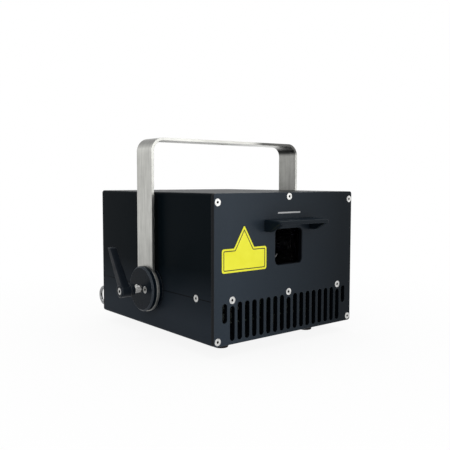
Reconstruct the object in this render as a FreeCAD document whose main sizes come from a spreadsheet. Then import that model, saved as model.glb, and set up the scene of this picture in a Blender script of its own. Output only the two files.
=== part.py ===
import FreeCAD, Part
import Sketcher
import math
import operator
import os

# A laser show projector: a flat-panelled metal housing on rubber feet, hung in a tilting strap yoke
# that two clamping levers lock.
# Frame: +X to the right as seen from the front, -Y out of the front, +Z up.
# The origin lies on the floor under the middle of the whole object.
# Local places are measured from the front face (Y), the housing's middle (X) and its underside (Z).

doc = FreeCAD.newDocument("laser_show_projector")

# Driving sizes in millimetres, one sheet cell each
SIZES = {
    # Housing shell and panels
    "housing_width": 200,
    "housing_depth": 226,
    "housing_height": 149.5,
    "seam_height": 44.1,
    "shell_wall": 3,
    "shell_edge_radius": 2.5,
    "front_panel_thickness": 5,
    "rear_panel_thickness": 3,
    "panel_corner_radius": 3,
    "panel_edge_bevel": 0.3,
    "port_radius": 4.2,
    "screw_inset": 4.3,
    "upper_screw_drop": 8.6,
    "lower_screw_rise": 5,
    "side_screw_inset": 30,
    "rear_side_screw_inset": 41,
    # Clearances and cutting overrun
    "thread_clearance": 0.05,
    "head_clearance": 0.1,
    "hole_clearance": 0.2,
    "slide_gap": 0.1,
    "running_clearance": 0.05,
    "overrun": 1,
    # Panel screws, countersunk with a hexagon socket
    "panel_screw_head_radius": 3.7,
    "panel_screw_shank_radius": 2,
    "panel_screw_length": 14,
    "panel_screw_socket_radius": 1.44,
    "panel_screw_socket_depth": 1.3,
    # Small countersunk screws for connectors, hood and discs
    "small_screw_head_radius": 2.8,
    "small_screw_shank_radius": 1.5,
    "small_screw_length": 9,
    "small_screw_socket_radius": 1.15,
    "small_screw_socket_depth": 1,
    # Cooling slots in the front panel
    "slot_end_inset": 12.97,
    "slot_width": 6.4,
    "slot_bottom": 3.4,
    "slot_top": 41.7,
    "slot_top_under_screw": 38.4,
    "end_slot_bottom": 22,
    # Beam aperture, its window and the window's frame
    "aperture_width": 39,
    "aperture_height": 37.5,
    "aperture_drop": 4.55,
    "aperture_corner_radius": 5,
    "aperture_bevel": 0.8,
    "window_overlap": 4,
    "window_thickness": 2,
    "window_frame_rim": 5,
    "window_frame_lip": 2,
    # Hood over the aperture
    "hood_width": 71.4,
    "hood_depth": 23.5,
    "hood_rise": 10.5,
    "hood_fall": 0.8,
    "hood_cheek_height": 12.5,
    "hood_cheek_thickness": 5,
    "hood_cheek_flat": 8,
    "hood_plate": 3.8,
    "hood_edge_radius": 1.8,
    "hood_screw_drop": 6.2,
    # Thick inner baseplate and the blocks that take the yoke's studs
    "baseplate_thickness": 8,
    "baseplate_gap": 0.2,
    "block_reach": 20,
    "block_depth": 30,
    "block_height": 24,
    "block_flange_depth": 56,
    "block_flange_thickness": 6,
    "block_screw_length": 12,
    # Rubber feet
    "foot_height": 12.5,
    "foot_top_radius": 8.5,
    "foot_bottom_radius": 7.5,
    "foot_bottom_rounding": 1.2,
    "foot_spread": 63,
    "foot_inset": 36,
    "foot_recess_radius": 4.5,
    "foot_recess_depth": 5,
    "foot_screw_head_radius": 3.8,
    "foot_screw_head_height": 2.6,
    "foot_screw_shank_radius": 2,
    "foot_screw_socket_radius": 1.44,
    "foot_screw_socket_depth": 1.6,
    # Strap yoke and its pivots
    "pivot_setback": 112,
    "yoke_width": 30,
    "yoke_thickness": 3,
    "yoke_bend_radius": 15,
    "yoke_side_gap": 6,
    "yoke_top": 207.5,
    "yoke_end_radius": 25,
    "yoke_bolt_radius": 6.5,
    "washer_radius": 22,
    "washer_thickness": 1,
    "spacer_radius": 23,
    "disc_radius": 24.5,
    "disc_thickness": 5.5,
    "disc_bevel": 1.5,
    "lever_hub_bevel": 1,
    "disc_screw_circle": 8.6,
    "disc_screw_margin": 0.9,
    # Clamping levers
    "stud_radius": 3.9,
    "stud_bare_length": 10,
    "stud_grip": 14,
    "insert_radius": 4.9,
    "insert_length": 6.9,
    "lever_hub_radius": 7,
    "lever_neck_radius": 6.4,
    "lever_neck_length": 3,
    "lever_hub_length": 13.5,
    "lever_web": 2,
    "lever_screw_head_radius": 3.75,
    "lever_screw_head_height": 2.8,
    "lever_screw_shank_radius": 2.4,
    "lever_screw_socket_radius": 1.8,
    "lever_screw_socket_depth": 1.8,
    "lever_screw_grip": 7,
    "lever_head_sink": 0.4,
    "lever_reach": 47.5,
    "lever_arm_root_width": 12,
    "lever_arm_tip_width": 7.4,
    "lever_arm_root_depth": 9,
    "lever_arm_tip_depth": 7.5,
    "lever_arm_lean": 14.5,
    "lever_arm_rounding": 1.6,
    "lever_tip_bevel": 0.6,
    # Cooling fan in the rear panel
    "fan_gap": 9.2,
    "fan_wall": 2,
    "fan_duct_margin": 0.4,
    "fan_screw_inset": 4.25,
    "fan_depth": 25,
    "fan_corner_radius": 4,
    "fan_flange_thickness": 4,
    "fan_side_gap": 9,
    "fan_hub_radius": 16,
    "fan_hub_depth": 18,
    "fan_hub_gap": 1.2,
    "fan_blade_gap": 1.6,
    "fan_blade_thickness": 1.6,
    "fan_blade_chord": 15,
    "fan_root_sweep": 9,
    "fan_tip_sweep": 14,
    "fan_base_radius": 16,
    "fan_base_thickness": 3,
    "fan_strut_width": 5,
    "fan_shaft_radius": 1.5,
    "fan_shaft_length": 12,
    "guard_wire_radius": 1,
    "guard_rim": 0.8,
    "guard_eye_radius": 4,
    "guard_weld_depth": 0.4,
    "fan_screw_head_radius": 3.3,
    "fan_screw_head_height": 2.2,
    "fan_screw_shank_radius": 2,
    "fan_screw_socket_radius": 1.44,
    "fan_screw_socket_depth": 1.2,
    "fan_screw_length": 9,
    # Mains inlet with its rocker
    "inlet_side_gap": 10,
    "inlet_height_place": 22,
    "inlet_flange_width": 58,
    "inlet_flange_height": 30,
    "inlet_flange_thickness": 2.5,
    "inlet_flange_radius": 3,
    "inlet_body_width": 50,
    "inlet_body_height": 26,
    "inlet_body_depth": 24,
    "inlet_socket_width": 24.4,
    "inlet_socket_height": 17,
    "inlet_socket_depth": 18,
    "inlet_socket_offset": 10,
    "inlet_socket_corner": 4,
    "inlet_pin_width": 4,
    "inlet_pin_thickness": 2,
    "inlet_pin_length": 14,
    "inlet_pin_spacing": 14,
    "inlet_earth_rise": 4,
    "rocker_offset": 15.5,
    "rocker_width": 11,
    "rocker_height": 19,
    "rocker_depth": 7,
    "rocker_gap": 0.4,
    "rocker_proud": 2.6,
    "rocker_flush": 0.4,
    "rocker_waist": 0.9,
    "rocker_end_slope": 1.8,
    "rocker_shoulder": 1,
    "rocker_pin_length": 1,
    "rocker_pin_radius": 1.2,
    # Key switch
    "key_side_gap": 13,
    "key_collar_radius": 11,
    "key_collar_depth": 2.2,
    "key_body_radius": 9.4,
    "key_body_length": 26,
    "key_barrel_radius": 6.5,
    "key_barrel_length": 14,
    "key_barrel_proud": 1.2,
    "key_slot_width": 2.2,
    "key_slot_height": 8,
    "key_slot_depth": 9,
    "key_nut_radius": 13,
    "key_nut_thickness": 3,
    # Multi-pin signal connectors
    "signal_side_gap": 14,
    "signal_pitch": 22,
    "signal_flange_width": 53,
    "signal_flange_height": 12.5,
    "signal_flange_thickness": 1,
    "signal_shell_width": 39,
    "signal_shell_height": 8.4,
    "signal_shell_taper": 1.6,
    "signal_shell_proud": 5.8,
    "signal_body_width": 41,
    "signal_body_height": 10.6,
    "signal_body_depth": 10,
    "signal_screw_spacing": 47,
    "signal_shell_rounding": 1.5,
    "jackscrew_radius": 2.7,
    "jackscrew_length": 5,
    "jackscrew_shank_radius": 1.4,
    # Round control sockets
    "control_side_gap": 20,
    "control_pitch": 34,
    "control_height_place": 22,
    "control_flange_width": 26,
    "control_flange_height": 31,
    "control_flange_thickness": 2,
    "control_flange_radius": 3,
    "control_body_radius": 11.8,
    "control_body_depth": 20,
    "control_bore_radius": 8.3,
    "control_bore_depth": 14,
    "control_pin_radius": 1.2,
    "control_pin_circle": 4,
    "control_pin_length": 11,
    "control_recess_radius": 9.4,
    "control_recess_depth": 1.5,
    "control_contact_radius": 1.4,
    "control_screw_spread": 9.5,
    "control_screw_rise": 12,
    "latch_width": 7,
    "latch_height": 4,
    "latch_travel": 1.5,
    "latch_proud": 2,
    "latch_gap": 0.35,
    "latch_rise": 12.4,
    # Safety eye
    "eye_side_inset": 10,
    "eye_height_place": 15,
    "eye_ring_radius": 10.5,
    "eye_wire_radius": 2,
    "eye_standoff": 16,
    "eye_collar_radius": 5.5,
    "eye_shank_radius": 3,
    "eye_shank_length": 10,
    "eye_nut_radius": 5.8,
    "eye_nut_thickness": 5,
    # Scanner: two galvanometers and their mirrors
    "scan_setback": 25,
    "scan_mirror_spacing": 12,
    "galvo_radius": 7,
    "galvo_length": 34,
    "galvo_setback": 10,
    "galvo_shaft_radius": 1.2,
    "galvo_bearing_depth": 5,
    "mirror_thickness": 0.9,
    "mirror_width": 8,
    "x_mirror_length": 11,
    "y_mirror_length": 17,
    "mirror_stub": 3,
    "scan_wall": 5,
    "scan_base_thickness": 6,
    "scan_foot_margin": 6,
    # Laser modules and combining mirrors
    "laser_gap": 4,
    "laser_end_gap": 3.8,
    "laser_length": 62,
    "laser_height": 26,
    "laser_setback": 70,
    "laser_nozzle_radius": 4,
    "laser_nozzle_length": 8,
    "laser_fin_gap": 2.2,
    "laser_fin_depth": 6,
    "laser_base_inset": 2,
    "post_start": 15,
    "post_width": 10,
    "post_depth": 8,
    "post_slot_depth": 2,
    "dichroic_size": 12,
    "dichroic_thickness": 1.2,
    # Electronics
    "board_thickness": 1.6,
    "board_side_gap": 13,
    "board_middle_gap": 8,
    "board_depth": 56,
    "board_setback": 34,
    "standoff_height": 8,
    "standoff_radius": 3,
    "standoff_inset": 5,
    "heatsink_height": 14,
    "heatsink_depth": 14,
    "chip_height": 6,
    "chip_size": 16,
    "supply_width": 130,
    "supply_clearance": 18,
    "supply_height": 26,
    "supply_setback": 104,
    "supply_flange": 10,
    "supply_flange_thickness": 1.5,
    "control_board_width": 50,
    "control_board_clearance": 13,
    "control_board_setback": 95,
    "control_board_side_gap": 27,
}

SLOT_COUNT = 19
BLADE_COUNT = 7
GUARD_RINGS = 4
DISC_SCREW_COUNT = 2
# Slots that stop short under a panel screw, counted from the middle one
SHORT_SLOTS = (-8, 0, 8)

sheet = doc.addObject("Spreadsheet::Sheet", "sizes")
for row, (name, value) in enumerate(SIZES.items(), start=1):
    sheet.set(f"A{row}", name)
    sheet.set(f"B{row}", str(value))
    sheet.setAlias(f"B{row}", name)
doc.recompute()

SIGNS = {"+": operator.add, "-": operator.sub, "*": operator.mul, "/": operator.truediv}


class Length:
    """A sheet size or a sum of sizes: its value now and the expression that keeps it bound."""

    def __init__(self, value, text):
        self.value = value
        self.text = text

    def __float__(self):
        return float(self.value)

    def __add__(self, other):
        return joined(self, "+", other)

    def __radd__(self, other):
        return joined(other, "+", self)

    def __sub__(self, other):
        return joined(self, "-", other)

    def __rsub__(self, other):
        return joined(other, "-", self)

    def __mul__(self, other):
        return joined(self, "*", other)

    def __rmul__(self, other):
        return joined(other, "*", self)

    def __truediv__(self, other):
        return joined(self, "/", other)

    def __neg__(self):
        return joined(0, "-", self)


def as_length(item):
    return item if isinstance(item, Length) else Length(item, f"{item:.9f}")


def joined(left, sign, right):
    left = as_length(left)
    right = as_length(right)
    value = SIGNS[sign](left.value, right.value)
    return Length(value, f"({left.text} {sign} {right.text})")


class Sizes:
    """Every sheet cell as a Length, read by its alias."""

    def __getattr__(self, alias):
        return Length(float(sheet.get(alias)), f"sizes.{alias}")


size = Sizes()


def bind(item, path, length):
    item.setExpression(path, as_length(length).text)


def bind_place(item, place):
    for letter, length in zip("xyz", place):
        bind(item, f"Placement.Base.{letter}", length)


# Whole-object places that several pieces share
eye_back = size.housing_depth + size.eye_standoff + size.eye_ring_radius + size.eye_wire_radius
front_y = (size.hood_depth - eye_back) / 2
panel_back = size.front_panel_thickness
rear_face = size.housing_depth
rear_inside = size.housing_depth - size.rear_panel_thickness
shell_length = rear_inside - panel_back
half_width = size.housing_width / 2
pivot_height = size.seam_height
plate_top = size.seam_height + size.baseplate_thickness / 2
plate_bottom = size.seam_height - size.baseplate_thickness / 2
upper_space = size.housing_height - size.shell_wall - plate_top
aperture_middle = plate_top + upper_space / 2 - size.aperture_drop
aperture_bottom = aperture_middle - size.aperture_height / 2
aperture_top = aperture_bottom + size.aperture_height
hood_top = aperture_top + size.hood_rise
strap_inside = half_width + size.yoke_side_gap
strap_outside = strap_inside + size.yoke_thickness
disc_face = strap_outside + size.disc_thickness
spacer_start = half_width + size.washer_thickness + size.slide_gap

nodes = {}


def node(name, item):
    """Name a finished sub-part and carry it from the housing's own places to the object's frame."""
    item.Label = name
    bind_place(item, (0, front_y, size.foot_height))
    nodes[name] = item
    return item


AXES = {
    "x": FreeCAD.Vector(1, 0, 0),
    "-x": FreeCAD.Vector(-1, 0, 0),
    "y": FreeCAD.Vector(0, 1, 0),
    "-y": FreeCAD.Vector(0, -1, 0),
    "z": FreeCAD.Vector(0, 0, 1),
    "-z": FreeCAD.Vector(0, 0, -1),
    "rising": FreeCAD.Vector(1, 0, 1),
    "falling": FreeCAD.Vector(1, 0, -1),
    "sloping": FreeCAD.Vector(0, 1, 1),
}


def aim(item, axis):
    """Turn an item so that its own Z points along the named axis."""
    item.Placement.Rotation = FreeCAD.Rotation(AXES["z"], AXES[axis])


def box(low, spans):
    item = doc.addObject("Part::Box", "box")
    for path, length in zip(("Length", "Width", "Height"), spans):
        bind(item, path, length)
    bind_place(item, low)
    return item


def rod(start, axis, radius, length):
    item = doc.addObject("Part::Cylinder", "rod")
    bind(item, "Radius", radius)
    bind(item, "Height", length)
    aim(item, axis)
    bind_place(item, start)
    return item


def taper(start, axis, start_radius, end_radius, length):
    item = doc.addObject("Part::Cone", "taper")
    bind(item, "Radius1", start_radius)
    bind(item, "Radius2", end_radius)
    bind(item, "Height", length)
    aim(item, axis)
    bind_place(item, start)
    return item


def hexagon(start, axis, corner_radius, length):
    item = doc.addObject("Part::Prism", "hexagon")
    item.Polygon = 6
    bind(item, "Circumradius", corner_radius)
    bind(item, "Height", length)
    aim(item, axis)
    bind_place(item, start)
    return item


def group(items):
    item = doc.addObject("Part::Compound", "group")
    item.Links = items
    return item


def fuse(items):
    item = doc.addObject("Part::MultiFuse", "fuse")
    item.Shapes = items
    item.Refine = True
    return item


def cut(base, tools):
    item = doc.addObject("Part::Cut", "cut")
    item.Base = base
    item.Tool = tools[0] if len(tools) == 1 else group(tools)
    return item


def new_body(name):
    return doc.addObject("PartDesign::Body", f"{name}_body")


def sketch_on(body, role, offset=0):
    """Start a sketch on one of the body's own origin planes, moved along the plane's normal."""
    plane = next(item for item in body.Origin.OriginFeatures if item.Role == role)
    sketch = body.newObject("Sketcher::SketchObject", f"{body.Name}_sketch")
    sketch.AttachmentSupport = (plane, [""])
    sketch.MapMode = "FlatFace"
    bind(sketch, "AttachmentOffset.Base.z", offset)
    return sketch


def constrain(sketch, rules):
    """Add rules to a sketch in one go and bind those that carry a length."""
    numbers = sketch.addConstraint([rule for rule, _ in rules])
    for number, (_, length) in zip(numbers, rules):
        if length is not None:
            bind(sketch, f"Constraints[{number}]", length)


def held(item, point, place):
    """Rules that hold a point of a sketch by its two distances from the sketch's origin."""
    kinds = zip(("DistanceX", "DistanceY"), place)
    return [(Sketcher.Constraint(kind, -1, 1, item, point, float(length)), length)
            for kind, length in kinds]


def flat(place):
    return FreeCAD.Vector(float(place[0]), float(place[1]), 0)


def add_outline(sketch, corners):
    """Add a closed outline of straight lines."""
    first = sketch.GeometryCount
    following = corners[1:] + corners[:1]
    sketch.addGeometry([Part.LineSegment(flat(start), flat(end)) for start, end in zip(corners, following)])
    rules = []
    for step, corner in enumerate(corners):
        after = first + (step + 1) % len(corners)
        rules.append((Sketcher.Constraint("Coincident", first + step, 2, after, 1), None))
        rules += held(first + step, 1, corner)
    constrain(sketch, rules)


def add_rectangle(sketch, low, high):
    add_outline(sketch, [low, (high[0], low[1]), high, (low[0], high[1])])


def add_circle(sketch, centre, radius):
    item = sketch.addGeometry(Part.Circle(flat(centre), AXES["z"], float(radius)))
    rule = Sketcher.Constraint("Radius", item, float(radius))
    constrain(sketch, held(item, 3, centre) + [(rule, radius)])


def add_slot(sketch, middle, bottom, top, width):
    """Add an upright slot with round ends."""
    radius = width / 2
    low = (middle, bottom + radius)
    high = (middle, top - radius)
    upper = Part.Circle(flat(high), AXES["z"], float(radius))
    lower = Part.Circle(flat(low), AXES["z"], float(radius))
    left_ends = [flat((middle - radius, end)) for end in (high[1], low[1])]
    right_ends = [flat((middle + radius, end)) for end in (low[1], high[1])]
    cap, left, base, right = sketch.addGeometry([
        Part.ArcOfCircle(upper, 0, math.pi), Part.LineSegment(*left_ends),
        Part.ArcOfCircle(lower, math.pi, 2 * math.pi), Part.LineSegment(*right_ends)])
    rules = [(Sketcher.Constraint("Equal", cap, base), None)]
    for before, after in ((cap, left), (left, base), (base, right), (right, cap)):
        rules.append((Sketcher.Constraint("Tangent", before, 2, after, 1), None))
    rules += held(cap, 3, high) + held(base, 3, low)
    rules.append((Sketcher.Constraint("Radius", cap, float(radius)), radius))
    constrain(sketch, rules)


def add_rounded_rectangle(sketch, low, high, radius):
    """Add a rectangle whose four corners are round, counter-clockwise from its lower side."""
    left, bottom, right, top = low[0] + radius, low[1] + radius, high[0] - radius, high[1] - radius
    centres = [(right, bottom), (right, top), (left, top), (left, bottom)]
    starts = [(left, low[1]), (high[0], bottom), (right, high[1]), (low[0], top)]
    ends = [(right, low[1]), (high[0], top), (left, high[1]), (low[0], bottom)]
    first = sketch.GeometryCount
    for step, (start, end, centre) in enumerate(zip(starts, ends, centres)):
        circle = Part.Circle(flat(centre), AXES["z"], float(radius))
        turn = (step - 1) * math.pi / 2
        sketch.addGeometry([Part.LineSegment(flat(start), flat(end)),
                            Part.ArcOfCircle(circle, turn, turn + math.pi / 2)])
    rules = [(Sketcher.Constraint("Radius", first + 1, float(radius)), radius)]
    count = 2 * len(centres)
    for step, centre in enumerate(centres):
        line = first + 2 * step
        arc = line + 1
        following = first + (2 * step + 2) % count
        rules.append((Sketcher.Constraint("Tangent", line, 2, arc, 1), None))
        rules.append((Sketcher.Constraint("Tangent", arc, 2, following, 1), None))
        rules += held(arc, 3, centre)
        if step:
            rules.append((Sketcher.Constraint("Equal", first + 1, arc), None))
    constrain(sketch, rules)


def pad(body, sketch, length, backwards=False):
    item = body.newObject("PartDesign::Pad", f"{body.Name}_pad")
    item.Profile = sketch
    item.Reversed = backwards
    bind(item, "Length", length)
    return item


def pocket(body, sketch, length, backwards=False):
    """Cut a sketch into a body and make sure that it took something away."""
    doc.recompute()
    before = body.Shape.Volume
    item = body.newObject("PartDesign::Pocket", f"{body.Name}_pocket")
    item.Profile = sketch
    item.Reversed = backwards
    bind(item, "Length", length)
    doc.recompute()
    if body.Shape.Volume >= before:
        raise ValueError(f"{item.Name} cuts nothing")
    return item


def dress(body, kind, path, length, chosen):
    """Fillet or chamfer the edges of a body that a test picks out."""
    doc.recompute()
    base = body.Tip
    names = []
    for number, edge in enumerate(base.Shape.Edges, start=1):
        if chosen(edge):
            names.append(f"Edge{number}")
    if not names:
        raise ValueError(f"no edge of {body.Name} fits")
    item = body.newObject(kind, f"{body.Name}_dress")
    item.Base = (base, names)
    bind(item, path, length)
    return item


def round_edges(body, radius, chosen):
    return dress(body, "PartDesign::Fillet", "Radius", radius, chosen)


def bevel_edges(body, length, chosen):
    return dress(body, "PartDesign::Chamfer", "Size", length, chosen)


def near(value, length):
    return abs(value - float(length)) < float(size.thread_clearance)


def runs_along(edge, axis):
    """True for a straight edge along the named axis."""
    ends = edge.Vertexes
    if len(ends) < 2 or not isinstance(edge.Curve, Part.Line):
        return False
    line = ends[1].Point - ends[0].Point
    return abs(abs(line.dot(AXES[axis])) - line.Length) < float(size.thread_clearance)


def lies_at(edge, axis, length):
    """True for an edge whose every end lies at one place along the named axis."""
    return all(near(end.Point.dot(AXES[axis]), length) for end in edge.Vertexes)


# Fasteners
def screw_sizes(family):
    return [getattr(size, f"{family}_{part}") for part in (
        "head_radius", "shank_radius", "socket_radius", "socket_depth")]


def countersunk_screw(place, axis, family, length):
    """A flat-headed screw with a hexagon socket, its head's face at the place."""
    head, shank, socket, depth = screw_sizes(family)
    start = (0, 0, 0)
    solid = fuse([taper(start, "z", head, shank, head - shank), rod(start, "z", shank, length)])
    item = cut(solid, [hexagon(start, "z", socket, depth)])
    aim(item, axis)
    bind_place(item, place)
    return item


def countersink(place, axis, family, length):
    """The room that a countersunk screw needs, with clearance at head and shank."""
    head, shank, _, _ = screw_sizes(family)
    start = (0, 0, 0)
    gap = size.head_clearance
    sink = taper(start, "z", head + gap, shank + gap, head - shank)
    item = fuse([sink, rod(start, "z", shank + gap, length)])
    aim(item, axis)
    bind_place(item, place)
    return item


def tapped(place, axis, family, length):
    """The threaded hole that a screw bites into."""
    _, shank, _, _ = screw_sizes(family)
    return rod(place, axis, shank + size.thread_clearance, length + size.overrun)


def cap_screw(place, axis, family, length):
    """A screw with a round standing head, its head seated at the place."""
    head, shank, socket, depth = screw_sizes(family)
    height = getattr(size, f"{family}_head_height")
    crown = rod((0, 0, 0), "-z", head, height)
    solid = fuse([crown, rod((0, 0, 0), "z", shank, length)])
    item = cut(solid, [hexagon((0, 0, -height), "z", socket, depth)])
    aim(item, axis)
    bind_place(item, place)
    return item


# Places of the panel screws, the same on the front and rear panels
screw_side = half_width - size.screw_inset
upper_screw = size.housing_height - size.upper_screw_drop
middle_screw = size.housing_height - size.screw_inset
slot_pitch = (half_width - size.slot_end_inset) / (SLOT_COUNT // 2)
mid_side = slot_pitch * max(SHORT_SLOTS)
upper_ports = [(-screw_side, upper_screw), (screw_side, upper_screw), (as_length(0), middle_screw)]
lower_ports = [(-screw_side, size.lower_screw_rise), (screw_side, size.lower_screw_rise)]
plate_taps = [(slot_pitch * step, size.seam_height) for step in SHORT_SLOTS]
panel_screw_places = upper_ports + lower_ports + plate_taps
side_screw_setbacks = (size.side_screw_inset, size.housing_depth - size.rear_side_screw_inset)


def panel_plate(name, face, thickness, edge_face):
    """A rounded rectangular panel, bevelled round its outer face."""
    body = new_body(name)
    sketch = sketch_on(body, "XZ_Plane", -face)
    zero = as_length(0)
    add_rectangle(sketch, (-half_width, zero), (half_width, size.housing_height))
    pad(body, sketch, thickness, backwards=True)
    round_edges(body, size.panel_corner_radius, lambda edge: runs_along(edge, "y"))
    bevel_edges(body, size.panel_edge_bevel, lambda edge: lies_at(edge, "y", edge_face))
    return body


def slot_row(body, steps, bottom, top):
    """Cut slots through the front panel at the named steps from its middle."""
    sketch = sketch_on(body, "XZ_Plane")
    for step in steps:
        add_slot(sketch, slot_pitch * step, bottom, top, size.slot_width)
    return pocket(body, sketch, size.front_panel_thickness)


def cooling_slots(body):
    """Runs of tall slots between the shortened ones, with a half-height slot at each end."""
    last = SLOT_COUNT // 2
    slot_row(body, (-last, last), size.end_slot_bottom, size.slot_top)
    slot_row(body, SHORT_SLOTS, size.slot_bottom, size.slot_top_under_screw)
    run = max(SHORT_SLOTS) - 1
    starts = [step + 1 for step in SHORT_SLOTS[:-1]]
    tall = slot_row(body, starts, size.slot_bottom, size.slot_top)
    pattern = body.newObject("PartDesign::LinearPattern", "tall_slots")
    pattern.Originals = [tall]
    axis = next(item for item in body.Origin.OriginFeatures if item.Role == "X_Axis")
    pattern.Direction = (axis, [""])
    bind(pattern, "Length", slot_pitch * (run - 1))
    pattern.Occurrences = run
    body.Tip = pattern


def front_panel():
    thickness = size.front_panel_thickness
    body = panel_plate("front_panel", as_length(0), thickness, as_length(0))
    opening = sketch_on(body, "XZ_Plane")
    half = size.aperture_width / 2
    add_rectangle(opening, (-half, aperture_bottom), (half, aperture_top))
    pocket(body, opening, thickness)
    inside = float(half) + float(size.thread_clearance)
    round_edges(body, size.aperture_corner_radius, lambda edge: runs_along(edge, "y")
                and edge.Length > float(thickness) - float(size.thread_clearance)
                and abs(edge.Vertexes[0].X) < inside)
    bevel_edges(body, size.aperture_bevel, lambda edge: lies_at(edge, "y", 0)
                and max(abs(end.X) for end in edge.Vertexes) < inside)
    cooling_slots(body)
    sinks = []
    for x, z in panel_screw_places:
        sinks.append(countersink((x, 0, z), "y", "panel_screw", size.panel_screw_length))
    _, shank, _, _ = screw_sizes("small_screw")
    for x, z in hood_screw_places:
        sinks.append(rod((x, 0, z), "y", shank + size.hole_clearance, size.panel_screw_length))
    return node("front_panel", cut(body, sinks))


def shell(name, corners, ports, edge_height):
    """One half of the extruded shell: a folded wall with round screw ports along its whole length."""
    body = new_body(name)
    sketch = sketch_on(body, "XZ_Plane", -panel_back)
    add_outline(sketch, corners)
    pad(body, sketch, shell_length, backwards=True)
    round_edges(body, size.shell_edge_radius, lambda edge: runs_along(edge, "y")
                and near(edge.Vertexes[0].Z, edge_height)
                and near(abs(edge.Vertexes[0].X), half_width))
    rods = sketch_on(body, "XZ_Plane", -panel_back)
    for place in ports:
        add_circle(rods, place, size.port_radius)
    pad(body, rods, shell_length, backwards=True)
    return body


def shell_cuts(ports):
    """Threaded ports, the seam's screw sinks and the clear holes for the yoke's studs."""
    tools = []
    for x, z in ports:
        tools.append(tapped((x, panel_back - size.overrun, z), "y", "panel_screw", shell_length
                            + size.overrun))
    for sign, axis in ((-1, "x"), (1, "-x")):
        x = half_width * sign
        for y in side_screw_setbacks:
            place = (x, y, size.seam_height)
            tools.append(countersink(place, axis, "panel_screw", size.panel_screw_length))
        stud_hole = size.stud_radius + size.hole_clearance
        tools.append(rod((x, size.pivot_setback, pivot_height), axis, stud_hole, size.panel_screw_length))
    return tools


def upper_cover():
    top = size.housing_height
    wall = size.shell_wall
    seam = size.seam_height
    corners = [(-half_width, seam), (-half_width, top), (half_width, top), (half_width, seam),
               (half_width - wall, seam), (half_width - wall, top - wall),
               (wall - half_width, top - wall), (wall - half_width, seam)]
    body = shell("upper_cover", corners, upper_ports, top)
    return node("upper_cover", cut(body, shell_cuts(upper_ports)))


def lower_pan():
    zero = as_length(0)
    wall = size.shell_wall
    seam = size.seam_height
    corners = [(-half_width, seam), (-half_width, zero), (half_width, zero), (half_width, seam),
               (half_width - wall, seam), (half_width - wall, wall),
               (wall - half_width, wall), (wall - half_width, seam)]
    body = shell("lower_pan", corners, lower_ports, zero)
    taps = [tapped((x, y, -size.overrun), "z", "foot_screw", wall + size.overrun) for x, y in foot_places]
    return node("lower_pan", cut(body, shell_cuts(lower_ports) + taps))


def panel_screws():
    front = []
    rear = []
    for x, z in panel_screw_places:
        front.append(countersunk_screw((x, 0, z), "y", "panel_screw", size.panel_screw_length))
        rear.append(countersunk_screw((x, rear_face, z), "-y", "panel_screw", size.panel_screw_length))
    node("front_panel_screws", group(front))
    node("rear_panel_screws", group(rear))
    side = []
    for x, axis in ((-half_width, "x"), (half_width, "-x")):
        for y in side_screw_setbacks:
            side.append(countersunk_screw((x, y, size.seam_height), axis, "panel_screw",
                                          size.panel_screw_length))
    node("side_screws", group(side))


def optical_baseplate():
    """The thick plate that every panel screws into, notched at both sides for the pivot blocks."""
    body = new_body("optical_baseplate")
    sketch = sketch_on(body, "XY_Plane", plate_bottom)
    side = half_width - size.shell_wall - size.baseplate_gap
    notch = half_width - size.shell_wall - size.block_reach - size.baseplate_gap
    reach = size.block_depth / 2 + size.baseplate_gap
    start = size.pivot_setback - reach
    end = size.pivot_setback + reach
    right = [(side, panel_back), (side, start), (notch, start), (notch, end), (side, end),
             (side, rear_inside)]
    left = [(-x, y) for x, y in reversed(right)]
    add_outline(sketch, right + left)
    pad(body, sketch, size.baseplate_thickness)
    taps = []
    for x, z in plate_taps:
        taps.append(tapped((x, 0, z), "y", "panel_screw", size.panel_screw_length))
        taps.append(tapped((x, rear_face, z), "-y", "panel_screw", size.panel_screw_length))
    for x, axis in ((-half_width, "x"), (half_width, "-x")):
        for y in side_screw_setbacks:
            taps.append(tapped((x, y, size.seam_height), axis, "panel_screw", size.panel_screw_length))
    for x, y in block_screw_places:
        taps.append(tapped((x, y, plate_bottom), "z", "small_screw", size.baseplate_thickness))
    return node("optical_baseplate", cut(body, taps))


# Beam window and hood
hood_screw_side = (size.hood_width - size.hood_cheek_thickness) / 2
hood_screw_places = [(sign * hood_screw_side, hood_top - size.hood_screw_drop) for sign in (-1, 1)]


def aperture_hood():
    """A visor with sloping cheeks, hollowed from below between them."""
    body = new_body("aperture_hood")
    zero = as_length(0)
    half = size.hood_width / 2
    top = hood_top
    low = top - size.hood_cheek_height
    front_top = top - size.hood_fall
    profile = sketch_on(body, "YZ_Plane", -half)
    add_outline(profile, [(zero, low), (zero, top), (-size.hood_depth, front_top),
                          (-size.hood_depth, front_top - size.hood_plate), (-size.hood_cheek_flat, low)])
    pad(body, profile, size.hood_width)
    inner = half - size.hood_cheek_thickness
    hollow = sketch_on(body, "YZ_Plane", inner)
    under = size.hood_plate
    past = size.hood_depth + size.overrun
    below = low - size.overrun
    add_outline(hollow, [(size.overrun, below), (size.overrun, top - under), (zero, top - under),
                         (-size.hood_depth, front_top - under), (-past, front_top - under), (-past, below)])
    pocket(body, hollow, inner * 2)
    round_edges(body, size.hood_edge_radius, lambda edge: not lies_at(edge, "y", 0)
                and all(near(abs(end.X), half) for end in edge.Vertexes))
    taps = [tapped((x, 0, z), "-y", "small_screw", size.small_screw_length) for x, z in hood_screw_places]
    return node("aperture_hood", cut(body, taps))


def hood_screws():
    """Screws from inside the panel into the hood's cheeks."""
    _, shank, _, _ = screw_sizes("small_screw")
    length = size.front_panel_thickness + size.small_screw_length
    items = []
    for x, z in hood_screw_places:
        head = hexagon((x, panel_back, z), "y", size.small_screw_head_radius, shank)
        items.append(fuse([head, rod((x, panel_back, z), "-y", shank, length)]))
    return node("hood_screws", group(items))


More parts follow.
